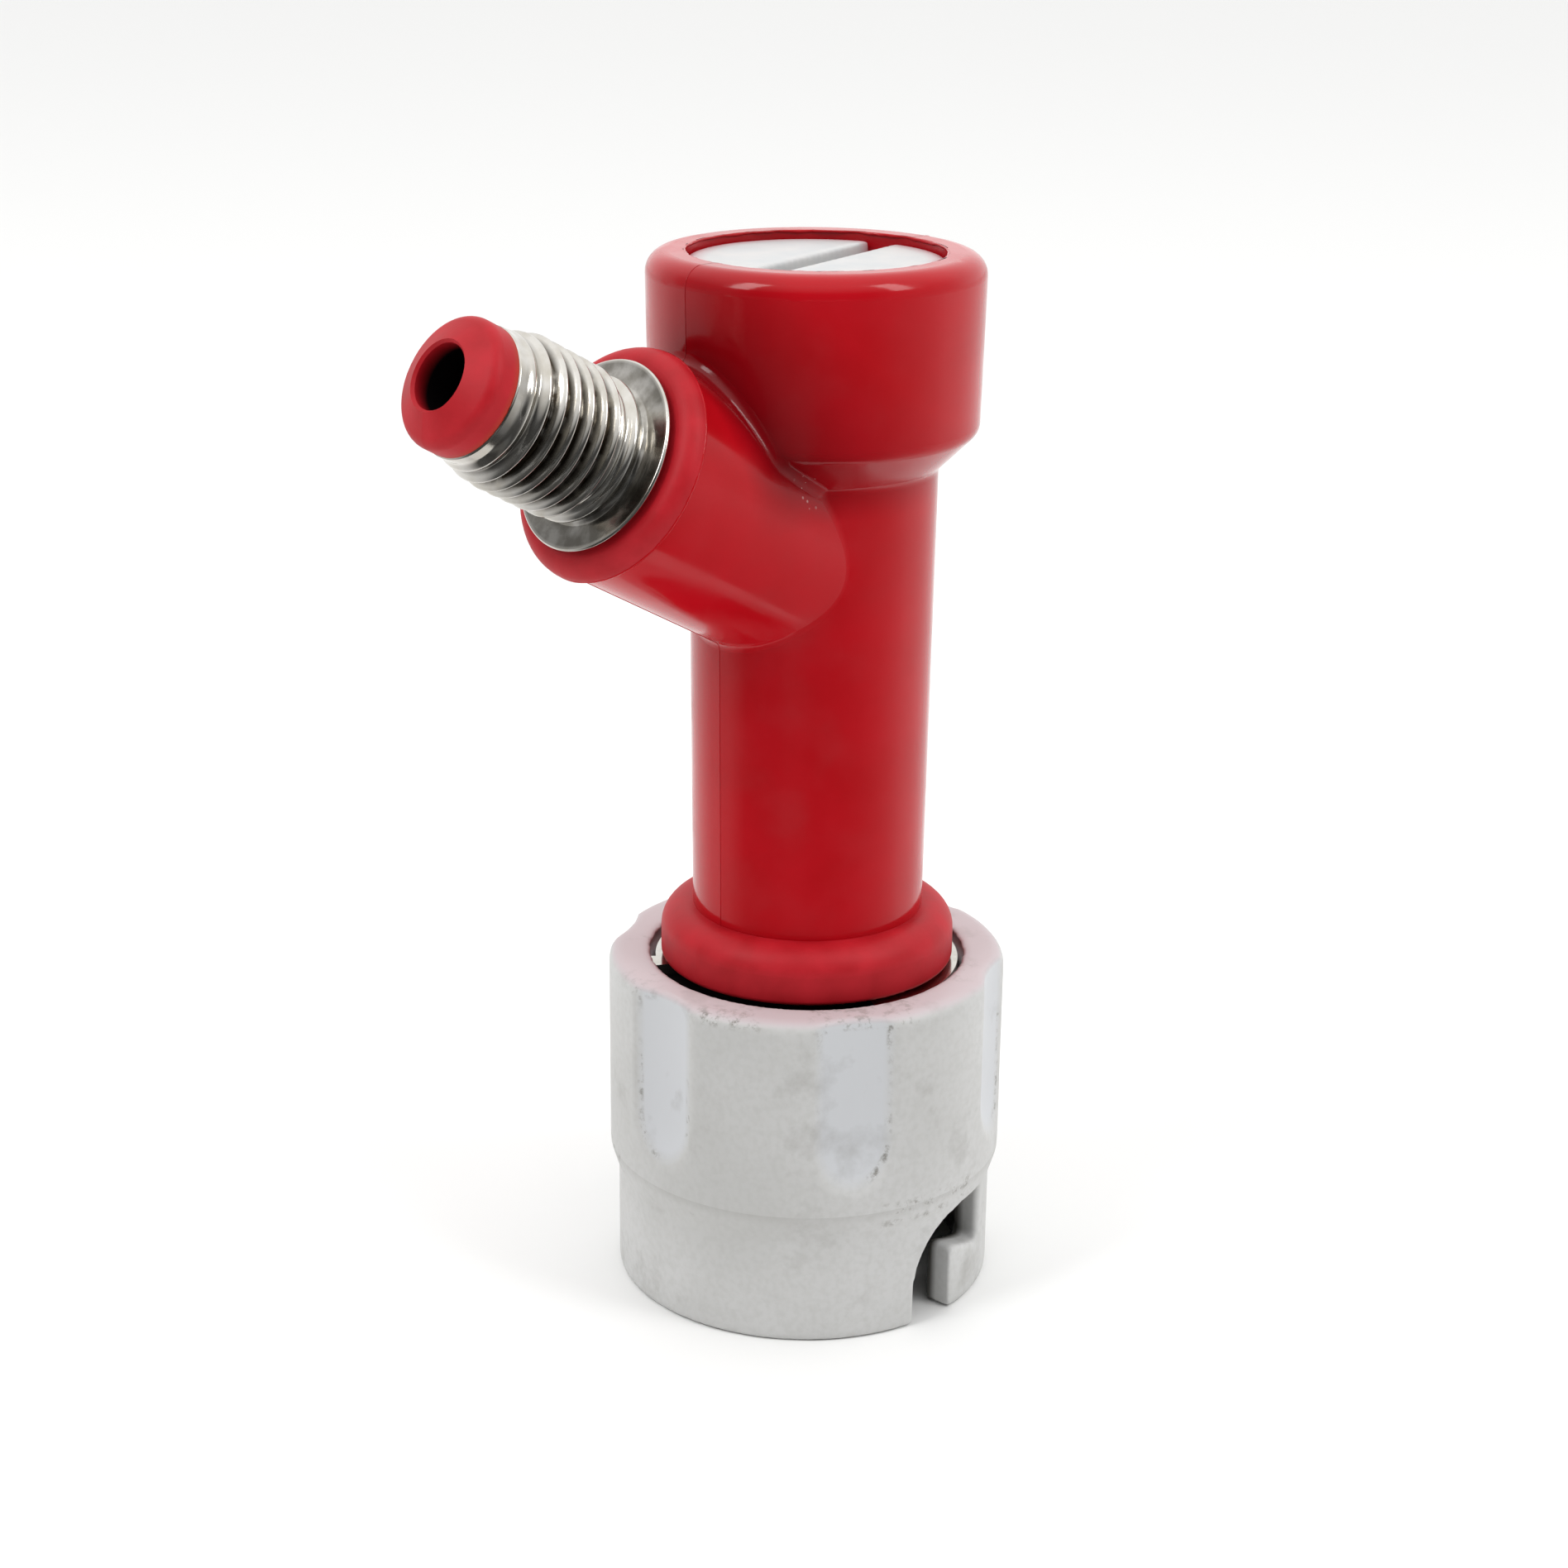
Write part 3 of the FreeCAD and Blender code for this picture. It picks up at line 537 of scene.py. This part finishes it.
def grey_nylon():
    material, tree, shader, place = new_material("nylon_grey_satin_moulding", IOR=1.53)
    tone = add(tree, "ShaderNodeTexNoise", {"Vector": place, "Scale": per_mm(12), "Detail": 2})
    colour = add(tree, "ShaderNodeValToRGB", {"Fac": tone.outputs["Fac"]},
                 stops=[(0.35, linear("#c2c2c0")), (0.65, linear("#cccccb"))])
    grain = add(tree, "ShaderNodeTexNoise", {"Vector": place, "Scale": per_mm(0.5),
                                             "Detail": 3}).outputs["Fac"]
    grainy = add(tree, "ShaderNodeMapRange", {"Value": grain, "From Min": 0.4, "From Max": 0.7,
                                              "To Max": 0.3}).outputs[0]
    colour = add(tree, "ShaderNodeMix", {0: grainy, 6: colour.outputs["Color"], 7: linear("#b2b2ae")},
                 data_type="RGBA").outputs[2]
    # Painted highlight: the bottoms of the flutes, above the grip's lower edge, are lighter and a cooler
    # grey.
    radius, split = from_bore(tree, place)
    height = split["Z"]
    sunk = add(tree, "ShaderNodeMapRange", {"Value": radius, "From Min": GRIP - 0.12 * MM,
                                            "From Max": GRIP - 0.5 * MM}).outputs[0]
    upper = add(tree, "ShaderNodeMapRange", {"Value": height, "From Min": STEP - 0.3 * MM,
                                             "From Max": STEP + 0.7 * MM}).outputs[0]
    clean_or_sheen = add(tree, "ShaderNodeMath", {0: sunk, 1: upper}, operation="MULTIPLY").outputs[0]
    flute_sheen = add(tree, "ShaderNodeMix", {0: clean_or_sheen, 6: colour, 7: linear("#cbcdd0")}, data_type="RGBA")
    # Painted shade: inside, below the upper part of the wall, the nylon is darkened.
    inner = add(tree, "ShaderNodeMapRange", {"Value": radius, "From Min": GRIP - INSIDE_SHADE_IN[0],
                                             "From Max": GRIP - INSIDE_SHADE_IN[1]}).outputs[0]
    lower = add(tree, "ShaderNodeMapRange", {"Value": height, "From Min": INSIDE_SHADE_TOP[0],
                                             "From Max": INSIDE_SHADE_TOP[1]}).outputs[0]
    inside_shade = add(tree, "ShaderNodeMath", {0: inner, 1: lower}, operation="MULTIPLY").outputs[0]
    inside_shaded = add(tree, "ShaderNodeMix", {0: inside_shade, 6: flute_sheen.outputs[2], 7: linear("#4a4743")},
                  data_type="RGBA")
    # Painted reflection: the red bead above throws a blush on the top rim, painted in as a pink tint.
    rim = add(tree, "ShaderNodeMapRange", {"Value": height, "From Min": COLLAR_TOP - 0.5 * MM,
                                           "From Max": COLLAR_TOP - 0.1 * MM, "To Max": 0.65}).outputs[0]
    blushed = add(tree, "ShaderNodeMix", {0: rim, 6: inside_shaded.outputs[2], 7: linear("#c4b0b2")},
                  data_type="RGBA")
    smear = add(tree, "ShaderNodeTexNoise", {"Vector": place, "Scale": per_mm(5), "Detail": 6,
                                             "Roughness": 0.6}).outputs["Fac"]
    dirt_and_shade = add(tree, "ShaderNodeMapRange", {"Value": smear, "From Min": 0.56, "From Max": 0.8,
                                            "To Max": 0.4}).outputs[0]
    # Dark flecks sit where hands and the keg rub: the grip's top and lower edges, and the flutes' sides.
    fleck = add(tree, "ShaderNodeTexNoise", {"Vector": place, "Scale": per_mm(0.9), "Detail": 5,
                                             "Roughness": 0.7}).outputs["Fac"]
    cluster = add(tree, "ShaderNodeTexNoise", {"Vector": place, "Scale": per_mm(7),
                                               "Detail": 1}).outputs["Fac"]
    patchy = add(tree, "ShaderNodeMapRange", {"Value": cluster, "From Min": 0.48,
                                              "From Max": 0.6}).outputs[0]
    specked = add(tree, "ShaderNodeMapRange", {"Value": fleck, "From Min": 0.5, "From Max": 0.62}).outputs[0]
    flecked = add(tree, "ShaderNodeMath", {0: specked, 1: patchy}, operation="MULTIPLY").outputs[0]
    measured = {"height": height, "radius": radius}
    for what, middle, reach in RUBBED:
        off = add(tree, "ShaderNodeMath", {0: measured[what], 1: middle}, operation="SUBTRACT").outputs[0]
        near = add(tree, "ShaderNodeMath", {0: off}, operation="ABSOLUTE").outputs[0]
        band = add(tree, "ShaderNodeMapRange", {"Value": near, "From Min": reach, "To Max": 0.75,
                                                "From Max": reach * 0.3}).outputs[0]
        rubbed = add(tree, "ShaderNodeMath", {0: band, 1: flecked}, operation="MULTIPLY").outputs[0]
        dirt_and_shade = add(tree, "ShaderNodeMath", {0: dirt_and_shade, 1: rubbed}, operation="MAXIMUM").outputs[0]
    # Painted shade: a thin darker line in the corner just under the grip.
    below = add(tree, "ShaderNodeMapRange", {"Value": height, "From Min": STEP - 0.9 * MM, "From Max": STEP,
                                             "To Max": 0.16}).outputs[0]
    under = add(tree, "ShaderNodeMath", {0: height, 1: STEP}, operation="LESS_THAN").outputs[0]
    corner = add(tree, "ShaderNodeMath", {0: below, 1: under}, operation="MULTIPLY").outputs[0]
    dirt_and_shade = add(tree, "ShaderNodeMath", {0: dirt_and_shade, 1: corner}, operation="MAXIMUM").outputs[0]
    # Real smears and flecks, with the painted shade under the grip, darken the colour.
    darkened = add(tree, "ShaderNodeMix", {0: dirt_and_shade, 6: blushed.outputs[2], 7: linear("#6f6a61")},
                 data_type="RGBA")
    tree.links.new(darkened.outputs[2], shader.inputs["Base Color"])
    rough = add(tree, "ShaderNodeMapRange", {"Value": smear, "To Min": 0.35, "To Max": 0.6})
    tree.links.new(rough.outputs[0], shader.inputs["Roughness"])
    bump = add(tree, "ShaderNodeBump", {"Height": fleck, "Strength": 0.35, "Distance": 0.02 * MM})
    tree.links.new(bump.outputs["Normal"], shader.inputs["Normal"])
    return material


# %% Black rubber
def black_rubber():
    material, tree, shader, place = new_material("nitrile_moulded_ring", Roughness=0.55)
    bloom = add(tree, "ShaderNodeTexNoise", {"Vector": place, "Scale": per_mm(0.8), "Detail": 3})
    colour = add(tree, "ShaderNodeValToRGB", {"Fac": bloom.outputs["Fac"]},
                 stops=[(0.3, linear("#141414")), (0.7, linear("#222222"))])
    tree.links.new(colour.outputs["Color"], shader.inputs["Base Color"])
    return material


# %% [markdown]
# ## The finish of each CAD node
# Each node of the CAD is one piece of one material, so one finish covers it. What is hidden inside gets
# its finish too, because the object may be taken apart. A piece that this script makes anew takes its
# finish from this list.

# %% Give the CAD nodes their finish
FINISH = {
    "body_shell": gloss_red(),
    "body_core": matte_red(),
    "threaded_sleeve": steel("stainless_rolled", True),
    "screw_cap": white_nylon("nylon_natural_moulding"),
    "cap_seal": black_rubber(),
    "valve_spring": steel("spring_steel_drawn", False),
    "valve_plunger": white_nylon("acetal_natural_moulding"),
    "locking_collar": grey_nylon(),
}
FINISH["plunger_seal"] = FINISH["cap_seal"]
FINISH["retaining_ring"] = FINISH["valve_spring"]
for name, material in FINISH.items():
    mesh = frame["nodes"][name].data
    mesh.materials.clear()
    mesh.materials.append(material)
print("materials", sorted({m.name for m in FINISH.values()}))

# %% [markdown]
# ## Pieces made here
# A piece made in Blender starts as a mesh, gets its shape from a modifier or a node tree, and is then
# turned into a plain mesh, because what the object carries away has no live modifier on it. It keeps
# its place in its mesh, with the object at the origin, as the CAD's own nodes do.

# %% Helpers for pieces


def piece_from(name, mesh, material):
    mesh.materials.clear()
    mesh.materials.append(material)
    piece = bpy.data.objects.new(name, mesh)
    bpy.context.scene.collection.objects.link(piece)
    return piece


def baked(piece):
    """Swaps the piece's mesh for the result of its modifiers, and removes them."""
    graph = bpy.context.evaluated_depsgraph_get()
    mesh = bpy.data.meshes.new_from_object(piece.evaluated_get(graph))
    mesh.name = piece.name
    piece.modifiers.clear()
    piece.data = mesh
    mesh.shade_smooth()
    return piece


WELD = 0.002 * MM                     # points closer than this are one


def merged_copy(node):
    """A welded copy of a CAD node's loose triangles."""
    mesh = bmesh.new()
    mesh.from_mesh(frame["nodes"][node].data)
    bmesh.ops.remove_doubles(mesh, verts=mesh.verts, dist=WELD)
    return mesh


def settle(piece, body, slot, *nodes):
    """Says what the piece rides on, and which CAD nodes it stands for. The slot, what it is finished in, is
    not used.
    """
    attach(piece, body)
    if nodes:
        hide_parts(*nodes)
    print(f"{piece.name}: {len(piece.data.polygons)} faces")


def tree_on(piece, tree, values):
    """Puts a node tree on a piece and sets its named inputs, by their identifiers."""
    modifier = piece.modifiers.new(tree.name, "NODES")
    modifier.node_group = tree
    for item in tree.interface.items_tree:
        if item.item_type == "SOCKET" and item.in_out == "INPUT" and item.name in values:
            modifier[item.identifier] = values[item.name]


def new_tree(name, inputs):
    """An empty geometry tree with named inputs, and the sockets that it starts from and ends in."""
    tree = bpy.data.node_groups.new(name, "GeometryNodeTree")
    tree.interface.new_socket("Geometry", in_out="INPUT", socket_type="NodeSocketGeometry")
    for label in inputs:
        kind = "NodeSocketMaterial" if label == "Material" else "NodeSocketFloat"
        tree.interface.new_socket(label, in_out="INPUT", socket_type=kind)
    tree.interface.new_socket("Geometry", in_out="OUTPUT", socket_type="NodeSocketGeometry")
    return tree, add(tree, "NodeGroupInput").outputs, add(tree, "NodeGroupOutput").inputs


# %% [markdown]
# ## The rolled thread
# The real sleeve's thread is one helical ridge, pressed up out of the steel between two rollers, so
# its crests are round and it fades out at both ends. A plain turned sleeve is made first, with many
# rows of points where the thread runs. A node tree then pushes each point out by a rule: the height
# follows a cosine of how far along the pitch it is, less its share of a turn round the axis. The same
# tree stores a height for the steel's dirt and painted shade to read.

# %% Turned blank
BORE = ROOT - 1.18 * MM
HELD = ROOT + 0.42 * MM               # radius of the part that is held in the moulding
HELD_LENGTH = 6.4 * MM
LIP = 0.17 * MM                       # the flange's rounded edges
BEAD = 5.42 * MM                      # radius of the bead in front of the flange
BEAD_START, BEAD_LENGTH = 0.75 * MM, 0.75 * MM
GROOVE_IN, GROOVE_LENGTH = 0.1 * MM, 0.25 * MM      # the groove between the flange and the bead
THREAD_FROM = FLANGE_FACE + 1.7 * MM
ROWS_PER_TURN = 14
TURNED_STEPS = 144


def arc(middle_radius, middle_along, radius, start, end, steps=5):
    """Points of a rounded corner, as (radius, along), between two angles in degrees."""
    angles = [math.radians(start + (end - start) * i / steps) for i in range(steps + 1)]
    return [(middle_radius + radius * math.cos(a), middle_along + radius * math.sin(a)) for a in angles]


def sleeve_outline():
    bead_round = BEAD_LENGTH / 2
    bead_middle = FLANGE_FACE + BEAD_START + bead_round
    rows = round((TIP - THREAD_FROM) / PITCH_UNF * ROWS_PER_TURN)
    outline = [(BORE, FLANGE_BACK - HELD_LENGTH), (HELD, FLANGE_BACK - HELD_LENGTH), (HELD, FLANGE_BACK)]
    outline += arc(FLANGE - LIP, FLANGE_BACK + LIP, LIP, -90, 0)
    outline += arc(FLANGE - LIP, FLANGE_FACE - LIP, LIP, 0, 90)
    outline += [(BEAD - GROOVE_IN, FLANGE_FACE), (ROOT + GROOVE_IN, FLANGE_FACE + GROOVE_LENGTH)]
    outline += arc(BEAD - bead_round, bead_middle, bead_round, -80, 80)
    outline += [(ROOT, THREAD_FROM + (TIP - THREAD_FROM) * row / rows) for row in range(rows + 1)]
    outline.append((BORE, TIP))
    return outline


def turned_mesh(name, outline, steps):
    """A closed outline of (radius, along) turned about Z."""
    mesh = bmesh.new()
    rings = []
    for step in range(steps):
        angle = 2 * math.pi * step / steps
        rings.append([mesh.verts.new((r * math.cos(angle), r * math.sin(angle), z)) for r, z in outline])
    for ring, after in zip(rings, rings[1:] + rings[:1]):
        for i in range(len(outline)):
            j = (i + 1) % len(outline)
            mesh.faces.new((ring[i], after[i], after[j], ring[j]))
    bmesh.ops.recalc_face_normals(mesh, faces=mesh.faces)
    data = bpy.data.meshes.new(name)
    mesh.to_mesh(data)
    mesh.free()
    return data


# %% The thread's rule as a node tree
CREST_SHARPNESS = 1.15                # above 1, crests are narrower than roots


def thread_tree():
    labels = ["Pitch", "Depth", "Root", "Start", "Run In", "End", "Run Out", "Material"]
    tree, given, result = new_tree("rolled_thread", labels)
    place = add(tree, "GeometryNodeInputPosition").outputs[0]
    split = add(tree, "ShaderNodeSeparateXYZ", {0: place}).outputs
    outward = add(tree, "ShaderNodeCombineXYZ", {0: split["X"], 1: split["Y"]}).outputs[0]
    radius = add(tree, "ShaderNodeVectorMath", {0: outward}, operation="LENGTH").outputs["Value"]
    angle = add(tree, "ShaderNodeMath", {0: split["Y"], 1: split["X"]}, operation="ARCTAN2").outputs[0]
    turns = add(tree, "ShaderNodeMath", {0: split["Z"], 1: given["Pitch"]}, operation="DIVIDE").outputs[0]
    phase = add(tree, "ShaderNodeMath", {0: turns, 1: 2 * math.pi}, operation="MULTIPLY").outputs[0]
    wound = add(tree, "ShaderNodeMath", {0: phase, 1: angle}, operation="SUBTRACT").outputs[0]
    wave = add(tree, "ShaderNodeMath", {0: wound}, operation="COSINE").outputs[0]
    raised = add(tree, "ShaderNodeMapRange", {"Value": wave, "From Min": -1.0}).outputs[0]
    ridge = add(tree, "ShaderNodeMath", {0: raised, 1: CREST_SHARPNESS}, operation="POWER").outputs[0]
    begun = add(tree, "ShaderNodeMath", {0: given["Start"], 1: given["Run In"]}, operation="ADD").outputs[0]
    full = add(tree, "ShaderNodeMath", {0: given["End"], 1: given["Run Out"]},
               operation="SUBTRACT").outputs[0]
    rise = add(tree, "ShaderNodeMapRange", {"Value": split["Z"], "From Min": given["Start"],
                                            "From Max": begun}).outputs[0]
    fall = add(tree, "ShaderNodeMapRange", {"Value": split["Z"], "From Min": given["End"],
                                            "From Max": full}).outputs[0]
    outer = add(tree, "ShaderNodeMath", {0: radius, 1: given["Root"]}, operation="GREATER_THAN").outputs[0]
    height = ridge
    for factor in (rise, fall, outer):
        height = add(tree, "ShaderNodeMath", {0: height, 1: factor}, operation="MULTIPLY").outputs[0]
    push = add(tree, "ShaderNodeMath", {0: height, 1: given["Depth"]}, operation="MULTIPLY").outputs[0]
    away = add(tree, "ShaderNodeVectorMath", {0: outward}, operation="NORMALIZE").outputs[0]
    offset = add(tree, "ShaderNodeVectorMath", {0: away, "Scale": push}, operation="SCALE").outputs[0]
    # Where there is no thread there is no groove to hold dirt and painted shade, so the stored height is full
    # there.
    there = add(tree, "ShaderNodeMath", {0: rise, 1: fall}, operation="MULTIPLY").outputs[0]
    groove = add(tree, "ShaderNodeMath", {0: 1.0, 1: ridge}, operation="SUBTRACT").outputs[0]
    sunk = add(tree, "ShaderNodeMath", {0: there, 1: groove}, operation="MULTIPLY").outputs[0]
    stands = add(tree, "ShaderNodeMath", {0: 1.0, 1: sunk}, operation="SUBTRACT").outputs[0]
    marked = add(tree, "GeometryNodeStoreNamedAttribute",
                 {"Geometry": given["Geometry"], "Name": "thread_height", "Value": stands},
                 data_type="FLOAT", domain="POINT")
    moved = add(tree, "GeometryNodeSetPosition", {"Geometry": marked.outputs[0], "Offset": offset})
    real = add(tree, "GeometryNodeRealizeInstances", {"Geometry": moved.outputs[0]})
    painted = add(tree, "GeometryNodeSetMaterial", {"Geometry": real.outputs[0],
                                                    "Material": given["Material"]})
    tree.links.new(painted.outputs[0], result[0])
    return tree


# %% The sleeve with its thread
THREAD_SIZES = {
    "Pitch": PITCH_UNF, "Depth": DEPTH, "Root": ROOT - 0.02 * MM,
    "Start": THREAD_FROM, "Run In": 0.9 * MM,
    "End": TIP - 0.5 * MM, "Run Out": 2.8 * MM,
    "Material": FINISH["threaded_sleeve"],
}
sleeve = piece_from("rolled_sleeve", turned_mesh("rolled_sleeve", sleeve_outline(), TURNED_STEPS),
                    FINISH["threaded_sleeve"])
tree_on(sleeve, thread_tree(), THREAD_SIZES)
baked(sleeve)
sleeve.data.transform(OUTLET)
settle(sleeve, "body", "stainless_sleeve", "threaded_sleeve")

# %% [markdown]
# ## Soft edges of the collar and the cap
# Moulded nylon has no sharp corner anywhere: the collar's flutes run out into its sides, and the tool
# rounds each edge of the collar and the cap. Rebuilding the CAD's shape from small voxels and relaxing
# the result softens every edge by the same small amount, inside and out, which no list of single edges
# would do as well.

# %% Softened collar and cap
COLLAR_VOXEL, COLLAR_RELAX = 0.265 * MM, 2      # smallest detail that is kept, and rounds of relaxing
CAP_VOXEL, CAP_RELAX = 0.22 * MM, 7


def softened(node, name, voxel, relax_steps):
    welded = merged_copy(node)
    mesh = bpy.data.meshes.new(name)
    welded.to_mesh(mesh)
    welded.free()
    piece = piece_from(name, mesh, FINISH[node])
    remesh = piece.modifiers.new("voxels", "REMESH")
    remesh.mode, remesh.voxel_size = "VOXEL", voxel
    relax = piece.modifiers.new("relax", "SMOOTH")
    relax.factor, relax.iterations = 0.5, relax_steps
    return baked(piece)


settle(softened("locking_collar", "soft_collar", COLLAR_VOXEL, COLLAR_RELAX), "collar", "collar_nylon",
       "locking_collar")
settle(softened("screw_cap", "soft_cap", CAP_VOXEL, CAP_RELAX), "body", "cap_nylon", "screw_cap")

# %% [markdown]
# ## Parting line and lips
# The two halves of a mould leave a hair line where they met, here in the plane of the outlet. The
# shell's welded copy is cut by that plane, which gives the line's path, and a thin bead follows it.
# Where the tool's parts meet badly, a little plastic squeezes out: a ragged lip stands at the edge of
# the cap's opening and a finer one round the outlet's mouth. One node tree draws all three.

# %% A bead along a path, as a node tree
def bead_tree():
    tree, given, result = new_tree("fine_bead", ["Radius", "Wander", "Grain", "Material"])
    noise = add(tree, "ShaderNodeTexNoise", {"Vector": add(tree, "GeometryNodeInputPosition").outputs[0],
                                             "Scale": given["Grain"], "Detail": 3})
    centred = add(tree, "ShaderNodeVectorMath", {0: noise.outputs["Color"], 1: (0.5, 0.5, 0.5)},
                  operation="SUBTRACT")
    wander = add(tree, "ShaderNodeVectorMath", {0: centred.outputs[0], "Scale": given["Wander"]},
                 operation="SCALE")
    moved = add(tree, "GeometryNodeSetPosition", {"Geometry": given["Geometry"], "Offset": wander.outputs[0]})
    path = add(tree, "GeometryNodeMeshToCurve", {"Mesh": moved.outputs[0]})
    ring = add(tree, "GeometryNodeCurvePrimitiveCircle", {"Resolution": 8, "Radius": given["Radius"]})
    tube = add(tree, "GeometryNodeCurveToMesh", {"Curve": path.outputs[0], "Profile Curve": ring.outputs[0],
                                                 "Fill Caps": True})
    real = add(tree, "GeometryNodeRealizeInstances", {"Geometry": tube.outputs[0]})
    painted = add(tree, "GeometryNodeSetMaterial", {"Geometry": real.outputs[0],
                                                    "Material": given["Material"]})
    tree.links.new(painted.outputs[0], result[0])
    return tree


BEAD_TREE = bead_tree()


def bead_piece(name, mesh, radius, wander, grain):
    piece = piece_from(name, mesh, FINISH["body_shell"])
    tree_on(piece, BEAD_TREE, {"Radius": radius, "Wander": wander, "Grain": grain,
                               "Material": FINISH["body_shell"]})
    baked(piece)
    for vertex in piece.data.vertices:
        vertex.co.z = min(vertex.co.z, TOP)
    settle(piece, "body", "gloss_shell")


# %% Parting line
LINE_RADIUS = 0.035 * MM
CLEAR_OF_CORE = 0.4 * MM             # the line is on the outside only, away from the inner moulding
OPENING = 9.9 * MM                   # nothing of the line is inside this radius at the top
OPENING_FROM = 76 * MM


def parting_line():
    cut = merged_copy("body_shell")
    core = merged_copy("body_core")
    near_core = BVHTree.FromBMesh(core)
    core.free()
    everything = cut.verts[:] + cut.edges[:] + cut.faces[:]
    bmesh.ops.bisect_plane(cut, geom=everything, plane_co=(0, 0, 0), plane_no=(0, 1, 0), dist=WELD / 2)
    path = bmesh.new()
    spots = {}
    for edge in cut.edges:
        if any(abs(v.co.y) > WELD for v in edge.verts):
            continue
        middle = (edge.verts[0].co + edge.verts[1].co) / 2
        inside = abs(middle.x) < OPENING and middle.z > OPENING_FROM
        if inside or near_core.find_nearest(middle)[3] < CLEAR_OF_CORE:
            continue
        for vertex in edge.verts:
            if vertex not in spots:
                spots[vertex] = path.verts.new(vertex.co)
        path.edges.new([spots[vertex] for vertex in edge.verts])
    mesh = bpy.data.meshes.new("parting_line")
    path.to_mesh(mesh)
    path.free()
    cut.free()
    bead_piece("parting_line", mesh, LINE_RADIUS, 0.0, per_mm(1))


parting_line()

# %% Lips of the two openings
RING_POINTS = 240
LIPS = {                             # radius, place along its axis, thickness, how ragged, and its axis
    "opening_lip": (9.6 * MM, TOP - 0.1 * MM, 0.13 * MM, 0.35 * MM, Matrix()),
    "outlet_lip": (OUTLET_SHELL + 0.3 * MM, MOUTH - 0.02 * MM, 0.13 * MM, 0.1 * MM, OUTLET),
}
for name, (radius, along, thickness, ragged, place) in LIPS.items():
    turns = [2 * math.pi * i / RING_POINTS for i in range(RING_POINTS)]
    ring = bpy.data.meshes.new(name)
    ring.from_pydata([(radius * math.cos(a), radius * math.sin(a), along) for a in turns],
                     [(i, (i + 1) % RING_POINTS) for i in range(RING_POINTS)], [])
    ring.transform(place)
    bead_piece(name, ring, thickness, ragged, per_mm(1.6))
